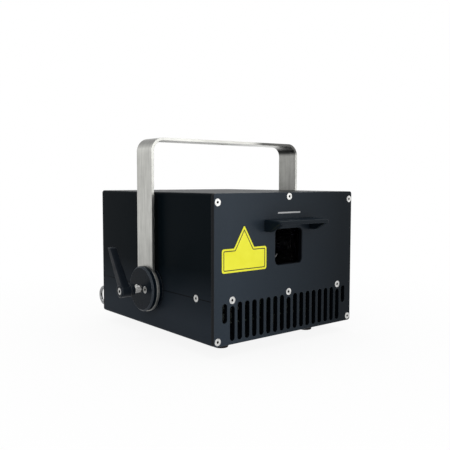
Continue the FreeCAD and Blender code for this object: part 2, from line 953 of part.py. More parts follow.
def aperture_window():
    side = size.aperture_width + size.window_overlap * 2
    height = size.aperture_height + size.window_overlap * 2
    low = aperture_bottom - size.window_overlap
    glass = box((-side / 2, panel_back, low), (side, size.window_thickness, height))
    return node("aperture_window", group([glass]))


def window_frame():
    """The frame that presses the window's edges against the back of the panel."""
    body = new_body("window_frame")
    gap = size.hole_clearance
    half_glass = size.aperture_width / 2 + size.window_overlap + gap
    low = aperture_bottom - size.window_overlap - gap
    high = aperture_top + size.window_overlap + gap
    rim = size.window_frame_rim
    outer = sketch_on(body, "XZ_Plane", -panel_back)
    add_rectangle(outer, (-half_glass - rim, low - rim), (half_glass + rim, high + rim))
    pad(body, outer, size.window_thickness + size.window_frame_lip, backwards=True)
    seat = sketch_on(body, "XZ_Plane", -panel_back)
    add_rectangle(seat, (-half_glass, low), (half_glass, high))
    pocket(body, seat, size.window_thickness)
    sight = sketch_on(body, "XZ_Plane", -panel_back)
    half = size.aperture_width / 2
    add_rectangle(sight, (-half, aperture_bottom), (half, aperture_top))
    pocket(body, sight, size.window_thickness + size.window_frame_lip)
    round_edges(body, size.panel_corner_radius, lambda edge: runs_along(edge, "y")
                and near(abs(edge.Vertexes[0].X), half_glass + rim))
    head = size.small_screw_head_radius + size.hole_clearance
    places = [(x, panel_back, z) for x, z in hood_screw_places]
    rooms = [rod(place, "y", head, size.panel_screw_length) for place in places]
    return node("window_frame", cut(body, rooms))


# Feet
foot_places = [(sign * size.foot_spread, y) for sign in (-1, 1)
               for y in (size.foot_inset, size.housing_depth - size.foot_inset)]


def rubber_feet():
    feet = []
    screws = []
    for x, y in foot_places:
        body = new_body("foot")
        profile = sketch_on(body, "XZ_Plane", -y)
        zero = as_length(0)
        bottom = -size.foot_height
        hole = size.foot_screw_shank_radius + size.hole_clearance
        seat = bottom + size.foot_recess_depth
        add_outline(profile, [(x + hole, zero), (x + size.foot_top_radius, zero),
                              (x + size.foot_bottom_radius, bottom), (x + size.foot_recess_radius, bottom),
                              (x + size.foot_recess_radius, seat), (x + hole, seat)])
        axis = sketch_on(body, "YZ_Plane", x)
        turn = body.newObject("PartDesign::Revolution", "foot_turn")
        turn.Profile = profile
        axis_line = axis.addGeometry(Part.LineSegment(flat((y, zero)), flat((y, size.foot_height))))
        constrain(axis, held(axis_line, 1, (y, zero)) + held(axis_line, 2, (y, size.foot_height)))
        turn.ReferenceAxis = (axis, ["Edge1"])
        turn.Angle = 360
        round_edges(body, size.foot_bottom_rounding, lambda edge: isinstance(edge.Curve, Part.Circle)
                    and near(edge.Vertexes[0].Z, bottom)
                    and near(edge.Curve.Radius, size.foot_bottom_radius))
        feet.append(body)
        length = size.foot_height - size.foot_recess_depth + size.shell_wall
        screws.append(cap_screw((x, y, seat), "z", "foot_screw", length))
    node("rubber_feet", group(feet))
    node("foot_screws", group(screws))


# Yoke, pivots and clamping levers
SIDES = {"left": (-1, "-x"), "right": (1, "x")}
stud_hole_radius = size.stud_radius + size.hole_clearance
block_outside = half_width - size.shell_wall - size.baseplate_gap
block_inside = block_outside - size.block_reach
block_screw_side = (block_outside + block_inside) / 2
block_screw_reach = (size.block_depth + size.block_flange_depth) / 4
block_screw_places = [(sign * block_screw_side, size.pivot_setback + way * block_screw_reach)
                      for sign in (-1, 1) for way in (-1, 1)]
lever_start = disc_face + size.stud_bare_length
lever_hub_start = lever_start + size.lever_neck_length
lever_end = lever_hub_start + size.lever_hub_length
insert_end = lever_start + size.insert_length
web_start = insert_end + size.slide_gap
web_end = web_start + size.lever_web
lever_head_seat = lever_end - size.lever_head_sink - size.lever_screw_head_height


def on_pivot(x):
    return (x, size.pivot_setback, pivot_height)


def disc_screw_places(x):
    """Screws spaced evenly round a pivot, the first towards the front."""
    places = []
    for step in range(DISC_SCREW_COUNT):
        turn = 2 * math.pi * step / DISC_SCREW_COUNT
        y = size.pivot_setback - size.disc_screw_circle * math.cos(turn)
        z = pivot_height + size.disc_screw_circle * math.sin(turn)
        places.append((x, y, z))
    return places


def opposite(axis):
    return axis[1:] if axis.startswith("-") else f"-{axis}"


def yoke_bracket():
    """A flat strap bent into a U, with a round ear at each end."""
    body = new_body("yoke_bracket")
    top = size.yoke_top
    strap = sketch_on(body, "XZ_Plane", size.yoke_width / 2 - size.pivot_setback)
    add_outline(strap, [(-strap_outside, pivot_height), (-strap_outside, top), (strap_outside, top),
                        (strap_outside, pivot_height), (strap_inside, pivot_height),
                        (strap_inside, top - size.yoke_thickness),
                        (-strap_inside, top - size.yoke_thickness), (-strap_inside, pivot_height)])
    pad(body, strap, size.yoke_width, backwards=True)
    round_edges(body, size.yoke_bend_radius, lambda edge: runs_along(edge, "y")
                and near(edge.Vertexes[0].Z, top))
    round_edges(body, size.yoke_bend_radius - size.yoke_thickness, lambda edge: runs_along(edge, "y")
                and near(edge.Vertexes[0].Z, top - size.yoke_thickness))
    for start in (-strap_outside, strap_inside):
        ear = sketch_on(body, "YZ_Plane", start)
        add_circle(ear, (size.pivot_setback, pivot_height), size.yoke_end_radius)
        pad(body, ear, size.yoke_thickness)
    tools = [rod((0, size.pivot_setback, top), "-z", size.yoke_bolt_radius, size.yoke_bend_radius)]
    hole = size.panel_screw_shank_radius + size.hole_clearance
    for sign, outward in SIDES.values():
        start = strap_inside - size.overrun
        length = size.yoke_thickness + size.overrun * 2
        tools.append(rod(on_pivot(sign * start), outward, stud_hole_radius, length))
        for place in disc_screw_places(sign * start):
            tools.append(rod(place, outward, hole, length))
    return node("yoke_bracket", cut(body, tools))


def pivot_stack(side, sign, outward):
    """The discs that grip one ear of the yoke between them."""
    inward = opposite(outward)
    body = new_body(f"{side}_disc")
    face = sketch_on(body, "YZ_Plane", sign * strap_outside)
    add_circle(face, (size.pivot_setback, pivot_height), size.disc_radius)
    pad(body, face, size.disc_thickness, backwards=sign < 0)
    bevel_edges(body, size.disc_bevel, lambda edge: lies_at(edge, "x", sign * disc_face))
    length = disc_face - spacer_start - size.disc_screw_margin
    sinks = [countersink(place, inward, "panel_screw", length)
             for place in disc_screw_places(sign * disc_face)]
    reach = disc_face - half_width + size.overrun
    bore = rod(on_pivot(sign * half_width), outward, stud_hole_radius, reach)
    node(f"{side}_disc", cut(body, sinks + [bore]))
    thickness = strap_inside - spacer_start
    ring = rod(on_pivot(sign * spacer_start), outward, size.spacer_radius, thickness)
    taps = [tapped(place, inward, "panel_screw", length) for place in disc_screw_places(sign * disc_face)]
    node(f"{side}_spacer", group([cut(ring, taps + [bore])]))
    return [countersunk_screw(place, inward, "panel_screw", length)
            for place in disc_screw_places(sign * disc_face)]


def friction_washers():
    items = []
    for sign, outward in SIDES.values():
        start = on_pivot(sign * half_width)
        ring = rod(start, outward, size.washer_radius, size.washer_thickness)
        length = size.washer_thickness + size.overrun
        items.append(cut(ring, [rod(start, outward, stud_hole_radius, length)]))
    return node("friction_washers", group(items))


def pivot_blocks():
    """Blocks in the baseplate's notches, each with a flange screwed down on top of the plate."""
    blocks = []
    screws = []
    for sign, outward in SIDES.values():
        x = block_inside if sign > 0 else -block_outside
        core = box((x, size.pivot_setback - size.block_depth / 2, pivot_height - size.block_height / 2),
                   (size.block_reach, size.block_depth, size.block_height))
        flange = box((x, size.pivot_setback - size.block_flange_depth / 2, plate_top),
                     (size.block_reach, size.block_flange_depth, size.block_flange_thickness))
        bore_start = half_width - size.shell_wall - size.stud_grip - size.overrun
        bore = rod(on_pivot(sign * bore_start), outward, size.stud_radius + size.running_clearance,
                   size.block_reach)
        tools = [bore]
        for place_x, place_y in block_screw_places:
            if float(place_x) * sign > 0:
                place = (place_x, place_y, plate_top + size.block_flange_thickness)
                tools.append(countersink(place, "-z", "small_screw", size.block_screw_length))
                screws.append(countersunk_screw(place, "-z", "small_screw", size.block_screw_length))
        blocks.append(cut(fuse([core, flange]), tools))
    node("pivot_blocks", group(blocks))
    node("pivot_block_screws", group(screws))


def clamp_stud(side, sign, outward):
    """The threaded stud with the thicker insert that the lever slides on."""
    start = half_width - size.shell_wall - size.stud_grip
    stud = rod(on_pivot(sign * start), outward, size.stud_radius, lever_start - start)
    insert = rod(on_pivot(sign * lever_start), outward, size.insert_radius, size.insert_length)
    tap = rod(on_pivot(sign * (insert_end - size.lever_screw_grip)), outward,
              size.lever_screw_shank_radius + size.thread_clearance, size.lever_screw_grip + size.overrun)
    node(f"{side}_stud", cut(fuse([stud, insert]), [tap]))
    length = lever_head_seat - insert_end + size.lever_screw_grip
    screw = cap_screw(on_pivot(sign * lever_head_seat), opposite(outward), "lever_screw", length)
    node(f"{side}_lever_screw", group([screw]))


def clamp_lever(side, sign, outward):
    """A lever moulded as a round hub with a tapering arm that leans away from the housing."""
    body = new_body(f"{side}_lever")
    zero_side = sign < 0
    neck = sketch_on(body, "YZ_Plane", sign * lever_start)
    add_circle(neck, (size.pivot_setback, pivot_height), size.lever_neck_radius)
    pad(body, neck, size.lever_neck_length, backwards=zero_side)
    hub = sketch_on(body, "YZ_Plane", sign * lever_hub_start)
    add_circle(hub, (size.pivot_setback, pivot_height), size.lever_hub_radius)
    pad(body, hub, size.lever_hub_length, backwards=zero_side)
    bevel_edges(body, size.lever_hub_bevel, lambda edge: lies_at(edge, "x", sign * lever_end))
    middle = sign * (lever_hub_start + lever_end) / 2
    sections = []
    for rise, shift, width, depth in (
            (0, 0, size.lever_arm_root_width, size.lever_arm_root_depth),
            (size.lever_reach, size.lever_arm_lean, size.lever_arm_tip_width, size.lever_arm_tip_depth)):
        section = sketch_on(body, "XY_Plane", pivot_height + rise)
        x = middle + sign * shift
        low = (x - depth / 2, size.pivot_setback - width / 2)
        high = (x + depth / 2, size.pivot_setback + width / 2)
        add_rounded_rectangle(section, low, high, size.lever_arm_rounding)
        sections.append(section)
    arm = body.newObject("PartDesign::AdditiveLoft", f"{side}_arm")
    arm.Profile = sections[0]
    arm.Sections = sections[1:]
    arm.Ruled = True
    tip = pivot_height + size.lever_reach
    bevel_edges(body, size.lever_tip_bevel, lambda edge: lies_at(edge, "z", tip))
    tools = [
        rod(on_pivot(sign * (lever_start - size.overrun)), outward,
            size.insert_radius + size.running_clearance, web_start - lever_start + size.overrun),
        rod(on_pivot(sign * web_start), outward,
            size.lever_screw_shank_radius + size.hole_clearance, size.lever_hub_length),
        rod(on_pivot(sign * web_end), outward,
            size.lever_screw_head_radius + size.hole_clearance, size.lever_hub_length)]
    return node(f"{side}_lever", cut(body, tools))


def yoke_and_levers():
    yoke_bracket()
    screws = []
    for side, (sign, outward) in SIDES.items():
        screws += pivot_stack(side, sign, outward)
        clamp_stud(side, sign, outward)
        clamp_lever(side, sign, outward)
    node("disc_screws", group(screws))
    friction_washers()
    pivot_blocks()


# Cooling fan
fan_size = upper_space - size.fan_gap * 2
fan_height = plate_top + upper_space / 2
fan_side = half_width - size.shell_wall - size.fan_side_gap - fan_size / 2
fan_bore_radius = fan_size / 2 - size.fan_wall
fan_screw_spacing = fan_size - size.fan_screw_inset * 2
guard_ring_step = (fan_bore_radius - size.guard_rim) / GUARD_RINGS
fan_front = rear_inside - size.fan_depth
rotor_start = fan_front + size.fan_base_thickness + size.fan_hub_gap
fan_screw_reach = fan_screw_spacing / 2
fan_screw_places = [(fan_side + sx * fan_screw_reach,
                     fan_height + sz * fan_screw_reach)
                    for sx in (-1, 1) for sz in (-1, 1)]


def on_fan(y):
    return (fan_side, y, fan_height)


def fan_frame():
    """A square-flanged duct with a motor base on struts and the fixed shaft."""
    body = new_body("fan_frame")
    half = fan_size / 2
    centre = (fan_side, fan_height)
    low = (centre[0] - half, centre[1] - half)
    high = (centre[0] + half, centre[1] + half)
    for start in (fan_front, rear_inside - size.fan_flange_thickness):
        flange = sketch_on(body, "XZ_Plane", -start)
        add_rectangle(flange, low, high)
        pad(body, flange, size.fan_flange_thickness, backwards=True)
        if start is fan_front:
            duct = sketch_on(body, "XZ_Plane", -fan_front)
            add_circle(duct, centre, fan_size / 2 - size.fan_duct_margin)
            pad(body, duct, size.fan_depth, backwards=True)
    round_edges(body, size.fan_corner_radius, lambda edge: runs_along(edge, "y"))
    bore = sketch_on(body, "XZ_Plane", -fan_front)
    add_circle(bore, centre, fan_bore_radius)
    pocket(body, bore, size.fan_depth)
    base = rod(on_fan(fan_front), "y", size.fan_base_radius, size.fan_base_thickness)
    shaft_length = size.fan_base_thickness + size.fan_shaft_length
    shaft = rod(on_fan(fan_front), "y", size.fan_shaft_radius, shaft_length)
    width = size.fan_strut_width
    length = fan_bore_radius * 2 + size.overrun
    across = box((centre[0] - length / 2, fan_front, centre[1] - width / 2),
                 (length, size.fan_base_thickness, width))
    upright = box((centre[0] - width / 2, fan_front, centre[1] - length / 2),
                  (width, size.fan_base_thickness, length))
    hole = size.fan_screw_shank_radius + size.thread_clearance
    holes = [rod((x, fan_front, z), "y", hole, size.fan_depth + size.overrun) for x, z in fan_screw_places]
    return node("fan_frame", cut(fuse([body, base, shaft, across, upright]), holes))


def fan_rotor():
    """A hub with swept blades, made about the fan's own axis and then put in its place."""
    body = new_body("fan_rotor")
    zero = as_length(0)
    hub = sketch_on(body, "XZ_Plane")
    add_circle(hub, (zero, zero), size.fan_hub_radius)
    add_circle(hub, (zero, zero), size.fan_shaft_radius + size.running_clearance)
    pad(body, hub, size.fan_hub_depth, backwards=True)
    start = (size.fan_hub_depth - size.fan_blade_chord) / 2
    end = start + size.fan_blade_chord
    half = size.fan_blade_thickness / 2
    sections = []
    for radius, sweep in ((size.fan_hub_radius - size.fan_blade_thickness * 2, size.fan_root_sweep / 2),
                          (fan_bore_radius - size.fan_blade_gap, size.fan_tip_sweep / 2)):
        section = sketch_on(body, "YZ_Plane", radius)
        add_outline(section, [(start, -sweep - half), (end, sweep - half), (end, sweep + half),
                              (start, half - sweep)])
        sections.append(section)
    blade = body.newObject("PartDesign::AdditiveLoft", "fan_blade")
    blade.Profile = sections[0]
    blade.Sections = sections[1:]
    blade.Ruled = True
    doc.recompute()
    pattern = body.newObject("PartDesign::PolarPattern", "fan_blades")
    pattern.Originals = [blade]
    axis = next(item for item in body.Origin.OriginFeatures if item.Role == "Y_Axis")
    pattern.Axis = (axis, [""])
    pattern.Angle = 360
    pattern.Occurrences = BLADE_COUNT
    body.Tip = pattern
    bind_place(body, on_fan(rotor_start))
    return node("fan_rotor", group([body]))


def fan_guard():
    """Wire rings welded to two crossed wires that end in screw eyes."""
    wire = size.guard_wire_radius
    cross_y = rear_face + wire
    ring_y = cross_y + wire * 2 - size.guard_weld_depth
    parts = []
    for step in range(1, GUARD_RINGS + 1):
        ring = doc.addObject("Part::Torus", "guard_ring")
        bind(ring, "Radius1", guard_ring_step * step)
        bind(ring, "Radius2", wire)
        aim(ring, "y")
        bind_place(ring, on_fan(ring_y))
        parts.append(ring)
    reach = fan_screw_spacing * math.sqrt(2)
    corner = fan_screw_spacing / 2
    for way, axis in ((-1, "rising"), (1, "falling")):
        start = (fan_side - corner, cross_y, fan_height + corner * way)
        parts.append(rod(start, axis, wire, reach))
    for x, z in fan_screw_places:
        parts.append(rod((x, rear_face, z), "y", size.guard_eye_radius, wire * 2))
    hole = size.fan_screw_shank_radius + size.hole_clearance
    holes = [rod((x, rear_face, z), "y", hole, size.fan_depth) for x, z in fan_screw_places]
    return node("fan_guard", cut(fuse(parts), holes))


def fan_screws():
    y = rear_face + size.guard_wire_radius * 2
    items = [cap_screw((x, y, z), "-y", "fan_screw", size.fan_screw_length) for x, z in fan_screw_places]
    return node("fan_screws", group(items))


# Rear panel and what is fixed in it
inlet_face = rear_face + size.inlet_flange_thickness
rocker_axis_y = inlet_face - size.rocker_depth / 2
side_inside = half_width - size.shell_wall
inlet_side = side_inside - size.inlet_side_gap - size.inlet_flange_width / 2
rocker_side = inlet_side + size.rocker_offset
signal_side = side_inside - size.signal_side_gap - size.signal_flange_width / 2
key_side = side_inside - size.key_side_gap - size.key_nut_radius
# Equal gaps between baseplate, key switch, signal connectors and top
rear_stack = size.key_nut_radius * 2 + size.signal_flange_height + size.signal_pitch
rear_gap = (upper_space - rear_stack) / 3
key_height = plate_top + rear_gap + size.key_nut_radius
signal_low = key_height + size.key_nut_radius + rear_gap + size.signal_flange_height / 2
signal_heights = {"signal_in": signal_low + size.signal_pitch, "signal_out": signal_low}
control_in_side = side_inside - size.control_side_gap - size.control_flange_width / 2
control_out_side = control_in_side - size.control_pitch
control_sides = {"control_in": -control_in_side, "control_out": -control_out_side}
control_face = rear_face + size.control_flange_thickness
key_face = rear_face + size.key_collar_depth
key_place = (-key_side, key_height)
eye_place = (size.eye_side_inset - half_width, size.eye_height_place)


def rear_block(body, centre, width, height, face, depth, radius=None):
    """Pad a rectangle from a plane behind the rear panel's face, inwards."""
    sketch = sketch_on(body, "XZ_Plane", -face)
    low = (centre[0] - width / 2, centre[1] - height / 2)
    high = (centre[0] + width / 2, centre[1] + height / 2)
    if radius is None:
        add_rectangle(sketch, low, high)
    else:
        add_rounded_rectangle(sketch, low, high, radius)
    return pad(body, sketch, depth)


def control_screw_places(x):
    spread = size.control_screw_spread
    rise = size.control_screw_rise
    return [(x - spread, size.control_height_place + rise), (x + spread, size.control_height_place - rise)]


def window_cut(centre, width, height):
    """A rectangular hole through the rear panel with clearance all round."""
    gap = size.hole_clearance
    low = (centre[0] - width / 2 - gap, rear_inside - size.overrun, centre[1] - height / 2 - gap)
    through = size.rear_panel_thickness + size.overrun * 2
    return box(low, (width + gap * 2, through, height + gap * 2))


def round_cut(centre, radius):
    start = (centre[0], rear_inside - size.overrun, centre[1])
    return rod(start, "y", radius, size.rear_panel_thickness + size.overrun * 2)


def rear_panel():
    body = panel_plate("rear_panel", rear_inside, size.rear_panel_thickness, rear_face)
    gap = size.hole_clearance
    tools = [countersink((x, rear_face, z), "-y", "panel_screw", size.panel_screw_length)
             for x, z in panel_screw_places]
    tools.append(round_cut((fan_side, fan_height), fan_bore_radius))
    tools += [round_cut(place, size.fan_screw_shank_radius + gap) for place in fan_screw_places]
    tools.append(window_cut((inlet_side, size.inlet_height_place), size.inlet_body_width,
                            size.inlet_body_height))
    for z in signal_heights.values():
        centre = (-signal_side, z)
        tools.append(window_cut(centre, size.signal_body_width, size.signal_body_height))
        for x in signal_screw_sides:
            tools.append(round_cut((x, z), size.jackscrew_shank_radius + gap))
    for x in control_sides.values():
        tools.append(round_cut((x, size.control_height_place), size.control_body_radius + gap))
        for place in control_screw_places(x):
            tools.append(round_cut(place, size.small_screw_shank_radius + size.thread_clearance))
    tools.append(round_cut(key_place, size.key_body_radius + gap))
    tools.append(round_cut(eye_place, size.eye_shank_radius + gap))
    return node("rear_panel", cut(body, tools))


def mains_inlet():
    """A flanged three-pin inlet with a well for the rocker beside its socket."""
    body = new_body("mains_inlet")
    centre = (inlet_side, size.inlet_height_place)
    flange = size.inlet_flange_thickness
    rear_block(body, centre, size.inlet_flange_width, size.inlet_flange_height, inlet_face, flange,
               size.inlet_flange_radius)
    rear_block(body, centre, size.inlet_body_width, size.inlet_body_height, rear_face,
               size.inlet_body_depth)
    x = centre[0] - size.inlet_socket_offset
    half = size.inlet_socket_width / 2
    low = centre[1] - size.inlet_socket_height / 2
    high = centre[1] + size.inlet_socket_height / 2
    corner = size.inlet_socket_corner
    socket = sketch_on(body, "XZ_Plane", -inlet_face)
    add_outline(socket, [(x - half, low), (x + half, low), (x + half, high - corner),
                         (x + half - corner, high), (x - half + corner, high), (x - half, high - corner)])
    pocket(body, socket, size.inlet_socket_depth, backwards=True)
    well = sketch_on(body, "XZ_Plane", -inlet_face)
    reach = (size.rocker_width / 2 + size.rocker_gap, size.rocker_height / 2 + size.rocker_gap)
    add_rectangle(well, (rocker_side - reach[0], centre[1] - reach[1]),
                  (rocker_side + reach[0], centre[1] + reach[1]))
    pocket(body, well, size.rocker_depth + size.overrun, backwards=True)
    pins = []
    floor = inlet_face - size.inlet_socket_depth
    spread = size.inlet_pin_spacing / 2
    drop = -size.inlet_earth_rise / 2
    for side, rise in ((-spread, drop), (0, size.inlet_earth_rise), (spread, drop)):
        start = (x + side - size.inlet_pin_thickness / 2, floor,
                 centre[1] + rise - size.inlet_pin_width / 2)
        pins.append(box(start, (size.inlet_pin_thickness, size.inlet_pin_length, size.inlet_pin_width)))
    pin_reach = size.rocker_width + (size.rocker_pin_length + size.rocker_gap) * 2
    bearing = rod((rocker_side - pin_reach / 2, rocker_axis_y, centre[1]), "x",
                  size.rocker_pin_radius + size.running_clearance, pin_reach)
    return node("mains_inlet", cut(fuse([body] + pins), [bearing]))


def power_rocker():
    """A rocker whose lower half stands proud, turning on two short pins."""
    body = new_body("power_rocker")
    z = size.inlet_height_place
    half = size.rocker_height / 2
    inner = inlet_face - size.rocker_depth
    shoulder = inlet_face - size.rocker_shoulder
    profile = sketch_on(body, "YZ_Plane", rocker_side - size.rocker_width / 2)
    add_outline(profile, [(inner, z - half / 2), (inner, z + half / 2), (shoulder, z + half),
                          (inlet_face + size.rocker_flush, z + half),
                          (inlet_face + size.rocker_waist, z),
                          (inlet_face + size.rocker_proud, z - half + size.rocker_end_slope),
                          (shoulder, z - half)])
    pad(body, profile, size.rocker_width)
    reach = size.rocker_width + size.rocker_pin_length * 2
    pin = rod((rocker_side - reach / 2, rocker_axis_y, z), "x", size.rocker_pin_radius, reach)
    return node("power_rocker", fuse([body, pin]))


signal_screw_sides = [sign * size.signal_screw_spacing / 2 - signal_side for sign in (-1, 1)]


def signal_connectors():
    """Two flanged multi-pin sockets with tapered shells, and the hexagon posts that hold them."""
    posts = []
    for name, z in signal_heights.items():
        body = new_body(name)
        centre = (-signal_side, z)
        face = rear_face + size.signal_flange_thickness
        rear_block(body, centre, size.signal_flange_width, size.signal_flange_height, face,
                   size.signal_flange_thickness, size.signal_shell_rounding)
        rear_block(body, centre, size.signal_body_width, size.signal_body_height, rear_face,
                   size.rear_panel_thickness + size.signal_body_depth)
        shell_face = sketch_on(body, "XZ_Plane", -face)
        half = size.signal_shell_width / 2
        rise = size.signal_shell_height / 2
        slope = size.signal_shell_taper
        add_outline(shell_face, [(centre[0] - half + slope, z - rise), (centre[0] + half - slope, z - rise),
                                 (centre[0] + half, z + rise), (centre[0] - half, z + rise)])
        proud = size.signal_shell_proud - size.signal_flange_thickness
        pad(body, shell_face, proud, backwards=True)
        far = rear_face + size.signal_shell_proud
        round_edges(body, size.signal_shell_rounding, lambda edge: runs_along(edge, "y")
                    and any(near(end.Y, far) for end in edge.Vertexes))
        holes = []
        for x in signal_screw_sides:
            holes.append(round_cut((x, z), size.jackscrew_shank_radius + size.hole_clearance))
            post = hexagon((x, face, z), "y", size.jackscrew_radius, size.jackscrew_length)
            shank = rod((x, face, z), "-y", size.jackscrew_shank_radius,
                        size.signal_flange_thickness + size.rear_panel_thickness)
            posts.append(fuse([post, shank]))
        node(name, cut(body, holes))
    node("signal_posts", group(posts))


def on_control(x, y, turn):
    """A contact's place on the contact circle of a round socket."""
    return (x + size.control_pin_circle * math.cos(turn), y,
            size.control_height_place + size.control_pin_circle * math.sin(turn))


CONTACT_TURNS = [math.radians(angle) for angle in (0, 180, 270)]


def control_sockets():
    """Round three-pole sockets: pins on the way in, holes and a release tab on the way out."""
    screws = []
    for name, x in control_sides.items():
        body = new_body(name)
        centre = (x, size.control_height_place)
        rear_block(body, centre, size.control_flange_width, size.control_flange_height, control_face,
                   size.control_flange_thickness, size.control_flange_radius)
        barrel = sketch_on(body, "XZ_Plane", -rear_face)
        add_circle(barrel, centre, size.control_body_radius)
        pad(body, barrel, size.control_body_depth)
        mouth = sketch_on(body, "XZ_Plane", -control_face)
        male = name == "control_in"
        add_circle(mouth, centre, size.control_bore_radius if male else size.control_recess_radius)
        depth = size.control_bore_depth if male else size.control_recess_depth
        pocket(body, mouth, depth, backwards=True)
        tools = []
        for place in control_screw_places(x):
            start = (place[0], control_face, place[1])
            tools.append(countersink(start, "-y", "small_screw", size.small_screw_length))
            screws.append(countersunk_screw(start, "-y", "small_screw", size.small_screw_length))
        floor = control_face - depth
        solid = body
        if male:
            solid = fuse([body] + [rod(on_control(x, floor, turn), "y", size.control_pin_radius,
                                       size.control_pin_length) for turn in CONTACT_TURNS])
        else:
            tools += [rod(on_control(x, floor, turn), "-y", size.control_contact_radius,
                          size.control_bore_depth) for turn in CONTACT_TURNS]
            gap = size.latch_gap
            tools.append(box((x - size.latch_width / 2 - gap, rear_face,
                              centre[1] + size.latch_rise - size.latch_height / 2 - gap),
                             (size.latch_width + gap * 2, size.small_screw_length,
                              size.latch_height + gap * 2)))
        node(name, cut(solid, tools))
    node("connector_screws", group(screws))
    start = rear_face + size.latch_travel + size.latch_gap
    length = control_face + size.latch_proud - start
    tab = box((-control_out_side - size.latch_width / 2, start,
               size.control_height_place + size.latch_rise - size.latch_height / 2),
              (size.latch_width, length, size.latch_height))
    node("release_tab", group([tab]))


def key_switch():
    """A collared lock body, its nut behind the panel and the slotted barrel that turns in it."""
    x, z = key_place
    face = (x, key_face, z)
    collar = rod((x, rear_face, z), "y", size.key_collar_radius, size.key_collar_depth)
    case = rod((x, rear_face, z), "-y", size.key_body_radius, size.key_body_length)
    depth = size.key_barrel_length - size.key_barrel_proud
    bore = rod((x, key_face + size.overrun, z), "-y", size.key_barrel_radius + size.running_clearance,
               depth + size.overrun)
    node("key_switch", cut(fuse([collar, case]), [bore]))
    nut = hexagon((x, rear_inside, z), "-y", size.key_nut_radius, size.key_nut_thickness)
    hole = rod((x, rear_inside, z), "-y", size.key_body_radius + size.thread_clearance,
               size.key_body_length)
    node("key_switch_nut", cut(nut, [hole]))
    front = key_face + size.key_barrel_proud
    barrel = rod((x, front, z), "-y", size.key_barrel_radius, size.key_barrel_length)
    slot = box((x - size.key_slot_width / 2, front - size.key_slot_depth, z - size.key_slot_height / 2),
               (size.key_slot_width, size.key_slot_depth + size.overrun, size.key_slot_height))
    node("key_barrel", cut(barrel, [slot]))


def safety_eye():
    """A ring on a collared shank through the rear panel, held by a nut inside."""
    x, z = eye_place
    ring = doc.addObject("Part::Torus", "eye_ring")
    bind(ring, "Radius1", size.eye_ring_radius)
    bind(ring, "Radius2", size.eye_wire_radius)
    aim(ring, "x")
    bind_place(ring, (x, rear_face + size.eye_standoff, z))
    reach = size.eye_standoff - size.eye_ring_radius
    collar = taper((x, rear_face, z), "y", size.eye_collar_radius, size.eye_shank_radius, reach)
    shank = rod((x, rear_face, z), "-y", size.eye_shank_radius, size.eye_shank_length)
    node("safety_eye", fuse([ring, collar, shank]))
    nut = hexagon((x, rear_inside, z), "-y", size.eye_nut_radius, size.eye_nut_thickness)
    hole = rod((x, rear_inside, z), "-y", size.eye_shank_radius + size.thread_clearance,
               size.eye_shank_length)
    node("safety_eye_nut", cut(nut, [hole]))


# Scanner and lasers on the baseplate
scan_low = aperture_middle - size.scan_mirror_spacing
x_can_start = size.scan_setback + size.galvo_setback
holder_length = size.galvo_length - size.scan_foot_margin * 2
holder_reach = size.galvo_radius + size.scan_wall
y_can_place = (size.galvo_setback, size.scan_setback, aperture_middle)
x_can_place = (0, x_can_start, scan_low)
LASER_NAMES = ("red_laser", "green_laser", "blue_laser")
LASER_FINS = (-1, 0, 1)
laser_first = size.post_start + size.post_width / 2
laser_row = block_inside - size.laser_end_gap + size.laser_gap / 2 - laser_first
laser_pitch = laser_row / (len(LASER_NAMES) - 0.5)
laser_width = laser_pitch - size.laser_gap
laser_base_width = laser_width - size.laser_base_inset * 2
laser_fin_pitch = laser_width / (len(LASER_FINS) + 1)
laser_sides = {name: -laser_first - laser_pitch * step
               for step, name in enumerate(LASER_NAMES)}


def scanner_block():
    """One block with a bored holder for each of the two crossed scanner motors."""
    front = size.scan_setback - holder_reach
    far_x = size.galvo_setback + size.scan_foot_margin + holder_length
    far_y = x_can_start + size.scan_foot_margin + holder_length
    base = box((-holder_reach, front, plate_top),
               (far_x + holder_reach, far_y - front, size.scan_base_thickness))
    y_holder = box((far_x - holder_length, front, plate_top),
                   (holder_length, holder_reach * 2, aperture_middle + holder_reach - plate_top))
    x_holder = box((-holder_reach, far_y - holder_length, plate_top),
                   (holder_reach * 2, holder_length, scan_low + holder_reach - plate_top))
    bore = size.galvo_radius + size.thread_clearance
    bores = [rod(y_can_place, "x", bore, size.galvo_length), rod(x_can_place, "y", bore, size.galvo_length)]
    return node("scanner_block", cut(fuse([base, y_holder, x_holder]), bores))


def galvo_motors():
    cans = []
    for place, axis in ((x_can_place, "y"), (y_can_place, "x")):
        can = rod(place, axis, size.galvo_radius, size.galvo_length)
        bearing = rod(place, axis, size.galvo_shaft_radius + size.running_clearance,
                      size.galvo_bearing_depth + size.overrun)
        cans.append(cut(can, [bearing]))
    return node("galvo_motors", group(cans))


def scan_mirrors():
    """Thin mirrors held edge-on in the ends of the two motor shafts."""
    thickness = size.mirror_thickness
    width = size.mirror_width
    reach = size.mirror_stub + size.galvo_setback + size.galvo_bearing_depth
    length = size.x_mirror_length
    plate = group([box((-width / 2, -length / 2, -thickness / 2), (width, length, thickness))])
    aim(plate, "falling")
    bind_place(plate, (0, size.scan_setback, scan_low))
    start = size.scan_setback + length / 2 - size.mirror_stub
    shaft = rod((0, start, scan_low), "y", size.galvo_shaft_radius, reach - length / 2)
    node("x_mirror", fuse([plate, shaft]))
    length = size.y_mirror_length
    plate = group([box((-length / 2, -width / 2, -thickness / 2), (length, width, thickness))])
    aim(plate, "sloping")
    bind_place(plate, (0, size.scan_setback, aperture_middle))
    shaft = rod((length / 2 - size.mirror_stub, size.scan_setback, aperture_middle), "x",
                size.galvo_shaft_radius, reach - length / 2)
    node("y_mirror", fuse([plate, shaft]))


